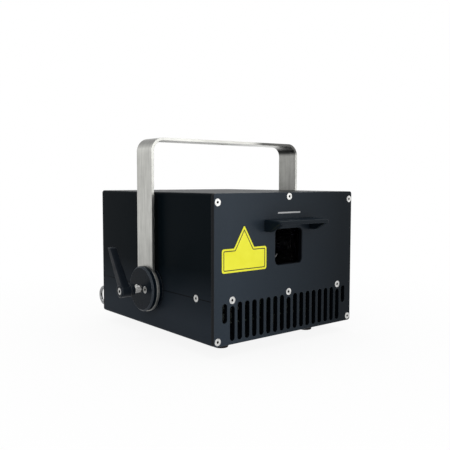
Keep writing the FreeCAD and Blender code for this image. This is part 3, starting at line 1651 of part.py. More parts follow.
def lasers():
    """Three finned laser heads, each on its own foot and with a nozzle towards the front."""
    for name, x in laser_sides.items():
        bottom = scan_low - size.laser_height / 2
        foot = box((x - laser_base_width / 2, size.laser_setback, plate_top),
                   (laser_base_width, size.laser_length, bottom - plate_top))
        head = box((x - laser_width / 2, size.laser_setback, bottom),
                   (laser_width, size.laser_length, size.laser_height))
        nozzle = rod((x, size.laser_setback, scan_low), "-y", size.laser_nozzle_radius,
                     size.laser_nozzle_length)
        fins = []
        for step in LASER_FINS:
            low = (x + laser_fin_pitch * step - size.laser_fin_gap / 2,
                   size.laser_setback - size.overrun,
                   bottom + size.laser_height - size.laser_fin_depth)
            fins.append(box(low, (size.laser_fin_gap, size.laser_length + size.overrun * 2,
                                  size.laser_fin_depth + size.overrun)))
        node(name, cut(fuse([foot, head, nozzle]), fins))


def across_beam(item, x):
    """Turn an item to the half right angle that sends a laser's beam sideways."""
    item.Placement = FreeCAD.Placement(FreeCAD.Vector(), FreeCAD.Rotation(AXES["z"], -45))
    bind_place(item, (x, size.scan_setback, 0))
    return item


def combining_mirrors():
    """Posts with a slot across the top, and the coated plates that stand in them."""
    posts = []
    plates = []
    reach = size.dichroic_size / 2
    thickness = size.dichroic_thickness
    gap = size.thread_clearance
    top = scan_low - reach + size.post_slot_depth
    for x in laser_sides.values():
        post = box((-size.post_width / 2, -size.post_depth / 2, plate_top),
                   (size.post_width, size.post_depth, top - plate_top))
        slot = box((-reach, -thickness / 2 - gap, scan_low - reach),
                   (reach * 2, thickness + gap * 2, size.post_slot_depth + size.overrun))
        posts.append(across_beam(cut(post, [slot]), x))
        plate = box((-reach, -thickness / 2, scan_low - reach), (reach * 2, thickness, reach * 2))
        plates.append(across_beam(group([plate]), x))
    node("mirror_posts", group(posts))
    node("combining_mirrors", group(plates))


# Electronics under and on the baseplate
board_width = side_inside - size.board_side_gap - size.board_middle_gap
board_side = size.board_middle_gap + board_width / 2
driver_sides = [-board_side, board_side]
board_floor = size.shell_wall
supply_reach = size.supply_setback + size.supply_flange
supply_depth = rear_face - size.inlet_body_depth - size.supply_clearance - supply_reach
control_board_reach = size.control_board_setback + size.control_board_clearance
control_board_depth = fan_front - control_board_reach


def board_corners(x, y, width, depth):
    """The four standoff places of a board given by its middle line and its front edge."""
    spread = width / 2 - size.standoff_inset
    return [(x + sign * spread, end) for sign in (-1, 1)
            for end in (y + size.standoff_inset, y + depth - size.standoff_inset)]


def boards():
    drivers = []
    stands = []
    base = board_floor + size.standoff_height
    top = base + size.board_thickness
    for x in driver_sides:
        board = box((x - board_width / 2, size.board_setback, base),
                    (board_width, size.board_depth, size.board_thickness))
        bar_width = board_width - size.standoff_inset * 4
        bar = box((x - bar_width / 2, size.board_setback + size.board_depth - size.heatsink_depth, top),
                  (bar_width, size.heatsink_depth, size.heatsink_height))
        chip = box((x - size.chip_size / 2, size.board_setback + size.heatsink_depth, top),
                   (size.chip_size, size.chip_size, size.chip_height))
        drivers.append(fuse([board, bar, chip]))
        for place in board_corners(x, size.board_setback, board_width, size.board_depth):
            stands.append(rod((place[0], place[1], board_floor), "z", size.standoff_radius,
                              size.standoff_height))
    node("driver_boards", group(drivers))
    x = side_inside - size.control_board_side_gap - size.control_board_width / 2
    base = plate_top + size.standoff_height
    board = box((x - size.control_board_width / 2, size.control_board_setback, base),
                (size.control_board_width, control_board_depth, size.board_thickness))
    chip = box((x - size.chip_size / 2, size.control_board_setback + control_board_depth / 2,
                base + size.board_thickness), (size.chip_size, size.chip_size, size.chip_height))
    node("control_board", fuse([board, chip]))
    for place in board_corners(x, size.control_board_setback, size.control_board_width,
                               control_board_depth):
        stands.append(rod((place[0], place[1], plate_top), "z", size.standoff_radius, size.standoff_height))
    node("board_standoffs", group(stands))


def power_supply():
    """A closed metal case with a mounting flange along its front and its rear foot."""
    half = size.supply_width / 2
    case = box((-half, size.supply_setback, board_floor),
               (size.supply_width, supply_depth, size.supply_height))
    flange = box((-half, size.supply_setback - size.supply_flange, board_floor),
                 (size.supply_width, supply_depth + size.supply_flange * 2,
                  size.supply_flange_thickness))
    return node("power_supply", fuse([case, flange]))


# Every sub-part in the order of assembly
BUILDERS = [
    front_panel, upper_cover, lower_pan, rear_panel, panel_screws, optical_baseplate,
    aperture_hood, hood_screws, aperture_window, window_frame, rubber_feet, yoke_and_levers,
    fan_frame, fan_rotor, fan_guard, fan_screws, mains_inlet, power_rocker, signal_connectors,
    control_sockets, key_switch, safety_eye, scanner_block, galvo_motors, scan_mirrors, lasers,
    combining_mirrors, boards, power_supply,
]
for build in BUILDERS:
    build()
doc.recompute()

for item in doc.Objects:
    if "Invalid" in item.State or "Error" in item.State:
        raise RuntimeError("not built: " + item.Name)
for name, item in nodes.items():
    if item.Shape.isNull() or not item.Shape.isValid():
        raise RuntimeError("not a valid shape: " + name)

os.makedirs("parts", exist_ok=True)
for name, item in nodes.items():
    item.Shape.exportStep("parts/" + name + ".step")
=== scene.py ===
import math

import bmesh
import bpy
from mathutils import Matrix, Vector


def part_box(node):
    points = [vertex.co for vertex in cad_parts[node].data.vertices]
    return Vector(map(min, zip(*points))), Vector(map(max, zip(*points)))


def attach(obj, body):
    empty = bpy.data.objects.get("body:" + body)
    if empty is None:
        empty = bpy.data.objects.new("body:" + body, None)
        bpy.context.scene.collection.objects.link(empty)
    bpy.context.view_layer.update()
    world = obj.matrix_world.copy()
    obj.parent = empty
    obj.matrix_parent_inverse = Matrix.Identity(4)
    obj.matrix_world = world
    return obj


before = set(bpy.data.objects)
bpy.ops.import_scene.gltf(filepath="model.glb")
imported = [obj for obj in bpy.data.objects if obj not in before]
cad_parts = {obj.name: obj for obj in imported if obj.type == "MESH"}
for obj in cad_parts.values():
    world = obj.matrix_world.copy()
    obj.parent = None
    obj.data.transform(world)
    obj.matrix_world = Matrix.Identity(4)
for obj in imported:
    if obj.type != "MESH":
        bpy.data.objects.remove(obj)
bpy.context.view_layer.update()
scene = bpy.context.scene
scene.view_settings.view_transform = "Standard"

MM = 0.001
WHITE = (1.0, 1.0, 1.0, 1.0)
SIDES = (("left", -1), ("right", 1))


def span(name):
    """Lowest corner, highest corner and middle of a CAD node, in millimetres."""
    low, high = (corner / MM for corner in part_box(name))
    return low, high, (low + high) / 2


# Places on the frame: the first four in metres, the pivots' axis in millimetres
FRONT_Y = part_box("front_panel")[0].y
SEAM_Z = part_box("upper_cover")[0].z
HOUSING_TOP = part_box("upper_cover")[1].z
YOKE_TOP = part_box("yoke_bracket")[1].z
PIVOT = span("right_disc")[2]


# Node-tree helpers
class Finish:
    """One material, with short calls that add and join its nodes."""

    def __init__(self, name):
        self.material = bpy.data.materials.new(name)
        self.material.use_nodes = True
        self.tree = self.material.node_tree
        self.shader = self.tree.nodes["Principled BSDF"]
        coordinates = self.add("ShaderNodeTexCoord")
        self.place = coordinates.outputs["Object"]
        self.normal = coordinates.outputs["Normal"]

    def add(self, kind, **settings):
        """A new node of one kind, with its settings."""
        node = self.tree.nodes.new(kind)
        for key, value in settings.items():
            setattr(node, key, value)
        return node

    def feed(self, node, socket, value):
        """Give a socket a number, a colour or another node's output."""
        if isinstance(value, bpy.types.NodeSocket):
            self.tree.links.new(value, node.inputs[socket])
        else:
            node.inputs[socket].default_value = value

    def set(self, **values):
        """Set constant values straight on the shader's own sockets."""
        for key, value in values.items():
            self.shader.inputs[key.replace("_", " ")].default_value = value

    def noise(self, scale, detail=2.0, rough=0.5, stretch=None):
        """A cloudy pattern fixed to the part, scaled along each axis where a stretch is given."""
        place = self.place
        if stretch:
            mapping = self.add("ShaderNodeMapping")
            self.feed(mapping, "Vector", place)
            self.feed(mapping, "Scale", stretch)
            place = mapping.outputs["Vector"]
        node = self.add("ShaderNodeTexNoise")
        for key, value in (("Vector", place), ("Scale", scale), ("Detail", detail), ("Roughness", rough)):
            self.feed(node, key, value)
        return node.outputs["Fac"]

    def ramp(self, value, low, high, start, end):
        """Map a value from one span to another and hold it at both ends."""
        node = self.add("ShaderNodeMapRange")
        self.feed(node, "Value", value)
        for key, number in (("From Min", start), ("From Max", end), ("To Min", low), ("To Max", high)):
            self.feed(node, key, number)
        return node.outputs["Result"]

    def spread(self, pattern, low=0.0, high=1.0):
        """Map the middle of a noise pattern, where most of its values lie, to a span."""
        return self.ramp(pattern, low, high, 0.3, 0.7)

    def blend(self, factor, first, second):
        """A colour between two others."""
        node = self.add("ShaderNodeMix", data_type="RGBA", blend_type="MIX")
        self.feed(node, "Factor", factor)
        self.feed(node, 6, first)
        self.feed(node, 7, second)
        return node.outputs[2]

    def maths(self, operation, first, second=0.0):
        node = self.add("ShaderNodeMath", operation=operation)
        self.feed(node, 0, first)
        self.feed(node, 1, second)
        return node.outputs["Value"]

    def product(self, value, *factors):
        for factor in factors:
            value = self.maths("MULTIPLY", value, factor)
        return value

    def remainder(self, share):
        """What a share leaves of one."""
        return self.maths("SUBTRACT", 1.0, share)

    def size(self, value):
        """A value without its sign."""
        return self.maths("ABSOLUTE", value)

    def soft_normal(self, radius):
        """The normal of the surface as if its edges were rounded to a radius."""
        bevel = self.add("ShaderNodeBevel", samples=4)
        self.feed(bevel, "Radius", radius)
        return bevel.outputs["Normal"]

    def edges(self, radius):
        """Bright along edges: how far a rounded normal leaves the true one."""
        dot = self.add("ShaderNodeVectorMath", operation="DOT_PRODUCT")
        self.feed(dot, 0, self.soft_normal(radius))
        self.feed(dot, 1, self.add("ShaderNodeNewGeometry").outputs["Normal"])
        return self.ramp(dot.outputs["Value"], 1.0, 0.0, 0.75, 0.99)

    def cavity(self, reach):
        """A mask for painted shade: one in the open and falling towards zero in sockets and corners."""
        node = self.add("ShaderNodeAmbientOcclusion", samples=8, only_local=True)
        self.feed(node, "Distance", reach)
        return self.ramp(node.outputs["AO"], 0.0, 1.0, 0.62, 0.97)

    def part_of(self, vector, axis):
        split = self.add("ShaderNodeSeparateXYZ")
        self.feed(split, "Vector", vector)
        return split.outputs[axis]

    def along(self, axis):
        """The place along one axis of the part."""
        return self.part_of(self.place, axis)

    def facing(self, axis):
        """How far the surface faces along one axis of the part."""
        return self.part_of(self.normal, axis)

    def colour(self, value):
        self.feed(self.shader, "Base Color", value)

    def roughness(self, value):
        self.feed(self.shader, "Roughness", value)

    def bump(self, height, strength, distance, radius=None):
        """Raise a height pattern, over a softly rounded edge where a radius is given."""
        node = self.add("ShaderNodeBump")
        for key, value in (("Height", height), ("Strength", strength), ("Distance", distance)):
            self.feed(node, key, value)
        if radius:
            self.feed(node, "Normal", self.soft_normal(radius))
        self.feed(self.shader, "Normal", node.outputs["Normal"])


def rgba(red, green, blue):
    """A colour written in 0 to 255 screen values, as linear light."""
    def linear(value):
        value /= 255
        return value / 12.92 if value <= 0.04045 else ((value + 0.055) / 1.055) ** 2.4
    return (linear(red), linear(green), linear(blue), 1.0)


# Finishes
def anodised(name, dark, light, worn_and_highlit, rough=0.42, specular=0.1, edge=0.0004, wear_and_highlight=0.5,
             seam=None, painted_light_drifts=(), chamfer_highlight=0.0):
    """Blasted and anodised aluminium: cloudy tone, fine speckle, paler edges that are partly wear and
    partly painted highlight, painted highlight on chamfers, and slow drifts of tone that are painted light
    and shade.
    """
    finish = Finish(name)
    speck = finish.noise(2600, 2, 0.7)
    cloud = finish.spread(finish.noise(9, 3))
    tone = finish.blend(finish.spread(speck), dark, light)
    tone = finish.blend(finish.product(cloud, 0.2), tone, light)
    # Painted light and shade: each drift blends the tone towards a darker or paler shade along one axis of
    # the part
    for axis, start, end, shade in painted_light_drifts:
        tone = finish.blend(finish.ramp(finish.along(axis), 0.0, 1.0, start, end), tone, shade)
    # Paler edges: partly wear and partly painted highlight
    tone = finish.blend(finish.product(finish.edges(edge), wear_and_highlight), tone, worn_and_highlit)
    # Painted highlight on faces that slope part way towards X, such as the chamfer round a disc's face
    if chamfer_highlight:
        across = finish.size(finish.facing("X"))
        slope = finish.product(across, finish.remainder(across))
        tone = finish.blend(finish.ramp(slope, 0.0, chamfer_highlight, 0.08, 0.2), tone, worn_and_highlit)
    if seam is not None:
        away = finish.size(finish.maths("SUBTRACT", finish.along("Z"), seam))
        tone = finish.blend(finish.ramp(away, 0.95, 0.0, 0.0003, 0.00045), tone, rgba(3, 3, 4))
    finish.colour(tone)
    finish.roughness(finish.spread(finish.noise(420, 3), rough - 0.02, rough + 0.04))
    finish.bump(speck, 0.12, 0.00008, edge)
    finish.set(Specular_IOR_Level=specular)
    return finish


def brushed(name, dark, light, stretch, rough):
    """Metal with fine lines along the way it was rolled or turned."""
    finish = Finish(name)
    edge = 0.0004
    lines = finish.noise(1.0, 4, 0.65, stretch)
    broad = finish.noise(1.0, 2, 0.5, tuple(value * 0.12 for value in stretch))
    tone = finish.blend(finish.ramp(lines, 0.0, 1.0, 0.25, 0.75), dark, light)
    tone = finish.blend(finish.ramp(broad, 0.0, 0.4, 0.35, 0.7), tone, dark)
    finish.colour(finish.blend(finish.product(finish.edges(edge), 0.5), tone, light))
    finish.roughness(finish.ramp(lines, rough - 0.07, rough + 0.12, 0.25, 0.75))
    finish.bump(lines, 0.1, 0.00006, edge)
    finish.set(Metallic=1.0)
    return finish


def strap_finish():
    """Brushed strap: streaked and clouded, with painted highlights on its edges, a painted reflection of
    the floor on faces that look down, and painted shade on some faces and at some heights.
    """
    finish = Finish("yoke_steel")
    edge = 0.0004
    lines = finish.noise(1.0, 4, 0.65, (14, 7600, 14))
    streaks = finish.noise(1.0, 3, 0.6, (26, 420, 26))
    clouds = finish.noise(70, 3, 0.6)
    light, dull, pale = rgba(228, 228, 223), rgba(160, 160, 156), rgba(250, 250, 246)
    side, height = finish.along("X"), finish.along("Z")
    outwards, upwards = finish.facing("X"), finish.facing("Z")
    tone = finish.blend(finish.ramp(lines, 0.0, 1.0, 0.25, 0.75), rgba(190, 190, 185), light)
    tone = finish.blend(finish.ramp(streaks, 0.0, 0.5, 0.35, 0.7), tone, dull)
    tone = finish.blend(finish.ramp(clouds, 0.0, 0.3, 0.4, 0.7), tone, dull)
    # Painted highlight along the edges
    tone = finish.blend(finish.product(finish.edges(edge), 0.5), tone, light)
    # Painted reflection of the floor: faces that look down turn paler
    tone = finish.blend(finish.ramp(upwards, 1.0, 0.0, -0.9, -0.5), tone, pale)

    # Painted shade on the arms' broad faces, in three steps from the crossbar down, at heights in metres
    steps = ((0.86, YOKE_TOP - 0.022, YOKE_TOP - 0.008), (0.95, 0.115, 0.165), (0.88, 0.098, 0.12))
    arm = finish.product(*(finish.ramp(height, kept, 1.0, start, end) for kept, start, end in steps))
    arm = finish.remainder(finish.product(finish.remainder(arm), finish.size(outwards)))

    # Painted shade on the faces towards the housing, the two bends and the crossbar's top
    inner = finish.ramp(finish.product(outwards, side), 0.68, 1.0, -0.1, -0.03)
    bend = finish.ramp(finish.size(finish.product(outwards, upwards)), 1.0, 0.4, 0.22, 0.48)
    top = finish.ramp(upwards, 1.0, 0.5, 0.55, 0.9)

    # Painted shade on the narrow edges, above the housing and most of all at one end of the crossbar
    crossbar = finish.ramp(height, 0.0, 1.0, YOKE_TOP - 0.016, YOKE_TOP - 0.01)
    fall = finish.product(crossbar, finish.ramp(side, 0.0, 0.87, 0.028, 0.05))
    above = finish.ramp(height, 0.0, 0.3, HOUSING_TOP - 0.012, HOUSING_TOP + 0.008)
    fall = finish.maths("MAXIMUM", above, fall)
    narrow = finish.remainder(finish.product(finish.size(finish.facing("Y")), fall))

    # Painted shade on the underside next to the bends
    ends = finish.ramp(finish.size(side), 0.0, 1.0, 0.06, 0.095)
    under = finish.remainder(finish.product(finish.ramp(upwards, 0.45, 0.0, -0.6, -0.1), ends))

    # Where the product of these shares falls below one, the tone turns near-black: painted shade
    share = finish.product(arm, inner, bend, top, narrow, under)
    finish.colour(finish.blend(finish.remainder(share), tone, rgba(8, 8, 8)))
    finish.roughness(finish.ramp(lines, 0.31, 0.5, 0.25, 0.75))
    finish.bump(lines, 0.1, 0.00006, edge)
    finish.set(Metallic=1.0)
    return finish


def plated(name, dark, light, rough, reach=0.0045):
    """Bright plating with faint stains and handling marks, and painted shade down in sockets and corners.
    """
    finish = Finish(name)
    edge = 0.0002
    stain = finish.noise(240, 3, 0.6)
    marks = finish.noise(1.0, 3, 0.7, (2500, 300, 900))
    tone = finish.blend(finish.ramp(stain, 0.0, 1.0, 0.35, 0.7), light, dark)
    # Painted shade: near-black where the surroundings close in, as down a socket
    finish.colour(finish.blend(finish.cavity(reach), rgba(9, 9, 10), tone))
    finish.roughness(finish.spread(marks, rough - 0.06, rough + 0.14))
    finish.bump(marks, 0.06, 0.00004, edge)
    finish.set(Metallic=1.0)
    return finish


def moulded(name, dark, light, rough=0.5, grain=1800, depth=0.00006, edge=0.0004, specular=0.3,
            worn_and_highlit=None):
    """Moulded plastic with a spark-eroded grain, paler along its edges: partly rubbed wear and partly
    painted highlight.
    """
    finish = Finish(name)
    cells = finish.add("ShaderNodeTexVoronoi", feature="SMOOTH_F1")
    finish.feed(cells, "Vector", finish.place)
    finish.feed(cells, "Scale", grain)
    tone = finish.blend(finish.spread(finish.noise(40, 3)), dark, light)
    # Paler edges: partly wear and partly painted highlight
    finish.colour(finish.blend(finish.product(finish.edges(edge), 0.7), tone, worn_and_highlit or light))
    finish.roughness(finish.spread(finish.noise(120, 3), rough - 0.08, rough + 0.1))
    finish.bump(cells.outputs["Distance"], 0.3, depth, edge)
    finish.set(Specular_IOR_Level=specular)
    return finish


def film(name, dark, light, rough):
    """Printed film: an even colour with slight fading and a satin surface."""
    finish = Finish(name)
    fade = finish.noise(55, 3, 0.6)
    finish.colour(finish.blend(finish.spread(fade), dark, light))
    finish.roughness(finish.spread(finish.noise(700, 3), rough - 0.05, rough + 0.1))
    finish.bump(fade, 0.05, 0.0001)
    finish.set(Specular_IOR_Level=0.25)
    return finish


def board_finish():
    """Green laminate with paler tracks in squared runs."""
    finish = Finish("board_laminate")
    bricks = finish.add("ShaderNodeTexBrick")
    finish.feed(bricks, "Vector", finish.place)
    finish.feed(bricks, "Scale", 260)
    finish.feed(bricks, "Color1", rgba(6, 21, 14))
    finish.feed(bricks, "Color2", rgba(8, 26, 17))
    finish.feed(bricks, "Mortar", rgba(16, 40, 27))
    finish.feed(bricks, "Mortar Size", 0.04)
    finish.colour(bricks.outputs["Color"])
    finish.roughness(finish.spread(finish.noise(300), 0.3, 0.5))
    finish.bump(bricks.outputs["Fac"], 0.2, 0.00005)
    return finish


def glass_finish(name, tint, rough, opacity):
    """Thin coated glass with faint dust."""
    finish = Finish(name)
    dust = finish.noise(900, 4, 0.7)
    finish.roughness(finish.ramp(dust, rough, rough + 0.12, 0.55, 0.8))
    finish.colour(finish.blend(finish.ramp(dust, 0.0, 0.2, 0.6, 0.85), tint, rgba(120, 124, 128)))
    finish.feed(finish.shader, "Alpha", finish.ramp(dust, opacity, opacity + 0.1, 0.6, 0.85))
    finish.set(Specular_IOR_Level=0.012, IOR=1.46)
    return finish


def mirror_finish():
    """Bright mirror coating with a faint haze."""
    finish = Finish("mirror_coating")
    haze = finish.noise(500, 3)
    finish.colour(finish.blend(finish.spread(haze), rgba(215, 218, 222), rgba(232, 232, 230)))
    finish.roughness(finish.spread(haze, 0.02, 0.08))
    finish.set(Metallic=1.0)
    return finish


def dress(finish, *names):
    """Give a finish to CAD nodes."""
    for name in names:
        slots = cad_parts[name].data.materials
        if not slots:
            slots.append(finish.material)
        for index in range(len(slots)):
            slots[index] = finish.material


def dress_housing():
    """The panels, the shell, the hood and the feet."""
    # Painted light and shade on the front panel: darker towards its right-hand end, and darker on faces set
    # back from the front face, such as the walls of the slots and the aperture
    front_painted_light = [("X", -0.08, 0.085, rgba(6, 15, 22)),
                    ("Y", FRONT_Y + 0.0002, FRONT_Y + 0.0007, rgba(9, 12, 16))]
    # The panel's pale edge tone is partly wear and partly painted highlight
    dress(anodised("front_anodised", rgba(40, 48, 57), rgba(49, 58, 67), rgba(96, 103, 111),
                   rough=0.32, specular=0.07, painted_light_drifts=front_painted_light),
          "front_panel")
    shell = (rgba(4, 10, 14), rgba(7, 15, 20), rgba(44, 48, 53))
    # Painted reflection of the floor: the shell and the rear panel turn paler from the first height down to
    # the second, in metres
    painted_sheen_from, painted_sheen_full = 0.085, 0.03
    dress(anodised("shell_anodised", *shell, rough=0.34, specular=0.015, seam=SEAM_Z,
                   painted_light_drifts=[("Z", painted_sheen_from, painted_sheen_full, rgba(39, 45, 52))]),
          "upper_cover", "lower_pan")
    dress(anodised("rear_anodised", *shell, rough=0.34, specular=0.02,
                   painted_light_drifts=[("Z", painted_sheen_from, painted_sheen_full, rgba(24, 29, 35))]),
          "rear_panel")
    # The hood's strong pale edges are partly wear and partly painted highlight
    dress(anodised("hood_anodised", rgba(12, 19, 25), rgba(20, 28, 35), rgba(92, 98, 105),
                   rough=0.34, specular=0.06, wear_and_highlight=0.8),
          "aperture_hood")
    dress(moulded("foot_rubber", rgba(20, 20, 20), rgba(38, 37, 36), rough=0.8, grain=900, depth=0.0001,
                  edge=0.0008, specular=0.25),
          "rubber_feet")


def dress_yoke():
    """The strap, its pivots and the clamping levers."""
    # The pale edges of the discs and spacers are partly wear and partly painted highlight; their pale
    # chamfer is painted highlight
    dress(anodised("disc_anodised", rgba(7, 15, 22), rgba(13, 22, 30), rgba(150, 158, 167),
                   rough=0.28, specular=0.045, edge=0.0006, wear_and_highlight=0.95, chamfer_highlight=0.1),
          "left_disc", "right_disc", "left_spacer", "right_spacer")
    dress(strap_finish(), "yoke_bracket")
    # The levers' pale edge tone is partly wear and partly painted highlight
    dress(moulded("lever_plastic", rgba(16, 21, 27), rgba(25, 31, 38), rough=0.36, edge=0.0006,
                  specular=0.06, worn_and_highlit=rgba(118, 125, 132)),
          "left_lever", "right_lever")
    dress(moulded("washer_plastic", rgba(24, 24, 24), rgba(40, 40, 40), rough=0.6), "friction_washers")
    dress(brushed("milled_aluminium", rgba(150, 152, 155), rgba(190, 192, 196), (1800, 40, 1800), 0.35),
          "pivot_blocks")


def dress_metalware():
    """Screws, studs, standoffs, the safety ring, the fan's guard, the key switch and the signal sockets."""
    dress(plated("plated_steel", rgba(158, 158, 157), rgba(200, 200, 198), 0.36),
          "front_panel_screws", "rear_panel_screws", "side_screws", "disc_screws", "pivot_block_screws",
          "hood_screws", "foot_screws", "fan_screws", "connector_screws", "signal_posts", "left_stud",
          "right_stud", "left_lever_screw", "right_lever_screw")
    dress(plated("dull_steel", rgba(122, 123, 124), rgba(146, 147, 148), 0.2, reach=0.0012),
          "safety_eye", "safety_eye_nut")
    dress(plated("dark_plating", rgba(34, 34, 33), rgba(58, 58, 56), 0.4), "board_standoffs")
    dress(plated("bright_chrome", rgba(204, 204, 206), rgba(218, 218, 219), 0.14, reach=0.0012),
          "fan_guard", "key_switch", "key_switch_nut", "key_barrel")
    dress(plated("tinned_steel", rgba(166, 165, 161), rgba(190, 189, 184), 0.3, reach=0.0008),
          "signal_in", "signal_out")


def dress_connectors():
    """The fan and the plastic of the sockets and switches."""
    dress(moulded("fan_plastic", rgba(22, 22, 23), rgba(38, 38, 40)), "fan_frame", "fan_rotor")
    dress(moulded("connector_plastic", rgba(20, 20, 20), rgba(36, 36, 37)),
          "mains_inlet", "power_rocker", "control_in", "control_out")
    dress(moulded("tab_plastic", rgba(70, 70, 74), rgba(100, 100, 104), rough=0.4), "release_tab")


def dress_inside():
    """The beam path, the scanner, the boards and the supply."""
    dress(anodised("inner_anodised", rgba(14, 14, 16), rgba(22, 22, 24), rgba(60, 60, 62), rough=0.5),
          "optical_baseplate", "scanner_block", "mirror_posts", "window_frame")
    dress(brushed("turned_steel", rgba(84, 85, 88), rgba(128, 129, 132), (60, 60, 2400), 0.3),
          "galvo_motors")
    dress(brushed("supply_sheet", rgba(86, 86, 84), rgba(124, 124, 122), (40, 900, 40), 0.4),
          "power_supply")
    dress(anodised("red_anodised", rgba(70, 22, 20), rgba(96, 32, 28), rgba(150, 70, 60)), "red_laser")
    dress(anodised("green_anodised", rgba(20, 62, 30), rgba(28, 84, 40), rgba(70, 140, 90)), "green_laser")
    dress(anodised("blue_anodised", rgba(20, 28, 74), rgba(28, 40, 100), rgba(70, 90, 160)), "blue_laser")
    dress(board_finish(), "driver_boards", "control_board")
    # The window's near-black tint, partly opaque, is painted shade over the parts inside
    dress(glass_finish("window_glass", rgba(1, 1, 2), 0.03, 0.4), "aperture_window")
    dress(glass_finish("filter_glass", rgba(120, 90, 150), 0.03, 0.45), "combining_mirrors")
    dress(mirror_finish(), "x_mirror", "y_mirror")


dress_housing()
dress_yoke()
dress_metalware()
dress_connectors()
dress_inside()


# Details added to the solids, in millimetres of the part's frame
def piece(name, verts, faces, body, finish, bevel=0.0):
    """A mesh from points and faces, riding on a body."""
    sharp_angle = 0.6
    mesh = bpy.data.meshes.new(name)
    work = bmesh.new()
    points = [work.verts.new(Vector(vert) * MM) for vert in verts]
    for face in faces:
        work.faces.new([points[index] for index in face])
    bmesh.ops.recalc_face_normals(work, faces=work.faces)
    if bevel:
        sharp = [edge for edge in work.edges if edge.calc_face_angle(0) > sharp_angle]
        bmesh.ops.bevel(work, geom=sharp, offset=bevel * MM, segments=2, profile=0.5, affect="EDGES")
    work.to_mesh(mesh)
    work.free()
    mesh.materials.append(finish.material)
    item = bpy.data.objects.new(name, mesh)
    scene.collection.objects.link(item)
    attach(item, body)


def inset(corners, distance):
    """The same outline, moved inwards by a distance; the corners run anticlockwise."""
    result = []
    count = len(corners)
    for index in range(count):
        here = Vector(corners[index])
        before = (here - Vector(corners[index - 1])).normalized()
        after = (Vector(corners[(index + 1) % count]) - here).normalized()
        normal = Vector((-before.y, before.x))
        other = Vector((-after.y, after.x))
        result.append(here + (normal + other) * (distance / (1 + normal.dot(other))))
    return result


def rounded(corners, radii):
    """Points along an outline whose corners are rounded to the given radii."""
    steps = 6
    points = []
    count = len(corners)
    for index in range(count):
        here = Vector(corners[index])
        back = (Vector(corners[index - 1]) - here).normalized()
        ahead = (Vector(corners[(index + 1) % count]) - here).normalized()
        half = back.angle(ahead) / 2
        reach = radii[index] / math.tan(half)
        middle = here + (back + ahead).normalized() * (radii[index] / math.sin(half))
        start = here + back * reach - middle
        end = here + ahead * reach - middle
        sweep = start.angle_signed(end)
        for step in range(steps + 1):
            turn = -sweep * step / steps
            points.append(middle + Matrix.Rotation(turn, 2) @ start)
    return points


def circle(around):
    """Angles at even steps round a circle."""
    return [2 * math.pi * step / around for step in range(around)]


def slab_faces(count):
    """Faces of a plate whose two outlines have as many points each."""
    faces = [tuple(range(count)), tuple(range(count, count * 2))]
    faces += [(i, (i + 1) % count, count + (i + 1) % count, count + i) for i in range(count)]
    return faces


def slab(points, base, depth):
    """A flat plate that stands on a face, from an outline in X and Z."""
    verts = [(x, base, z) for x, z in points] + [(x, base - depth, z) for x, z in points]
    return verts, slab_faces(len(points))


def band_faces(count):
    """Faces of a raised line: an outer and an inner outline, on two levels."""
    faces = []
    for i in range(count):
        j = (i + 1) % count
        faces += [(i, j, count + j, count + i),
                  (2 * count + i, 2 * count + j, 3 * count + j, 3 * count + i),
                  (i, j, 2 * count + j, 2 * count + i),
                  (count + i, count + j, 3 * count + j, 3 * count + i)]
    return faces


def band(outer, inner, base, depth):
    """A thin raised line between two outlines with as many points each."""
    verts = []
    for y in (base, base - depth):
        verts += [(x, y, z) for x, z in outer] + [(x, y, z) for x, z in inner]
    return verts, band_faces(len(outer))


def ring_faces(start, rows, around, closed=False):
    """Faces between rows of points round an axis, capped at both ends or closed into a ring."""
    faces = []
    for row in range(rows if closed else rows - 1):
        low, high = start + row * around, start + (row + 1) % rows * around
        for step in range(around):
            after = (step + 1) % around
            faces.append((low + step, low + after, high + after, high + step))
    if not closed:
        faces.append(tuple(range(start, start + around)))
        faces.append(tuple(range(start + (rows - 1) * around, start + rows * around)))
    return faces


def turned(places, profile, closed=False, around=12):
    """Small turned shapes along Y at several places in X and Z, from radii and depths."""
    verts, faces = [], []
    for x, z in places:
        faces += ring_faces(len(verts), len(profile), around, closed)
        for radius, y in profile:
            verts += [(x + radius * math.cos(turn), y, z + radius * math.sin(turn))
                      for turn in circle(around)]
    return verts, faces


def beside_pivot(x, radius, turn):
    """A point at a radius from the pivots' axis."""
    return x, PIVOT.y + radius * math.cos(turn), PIVOT.z + radius * math.sin(turn)


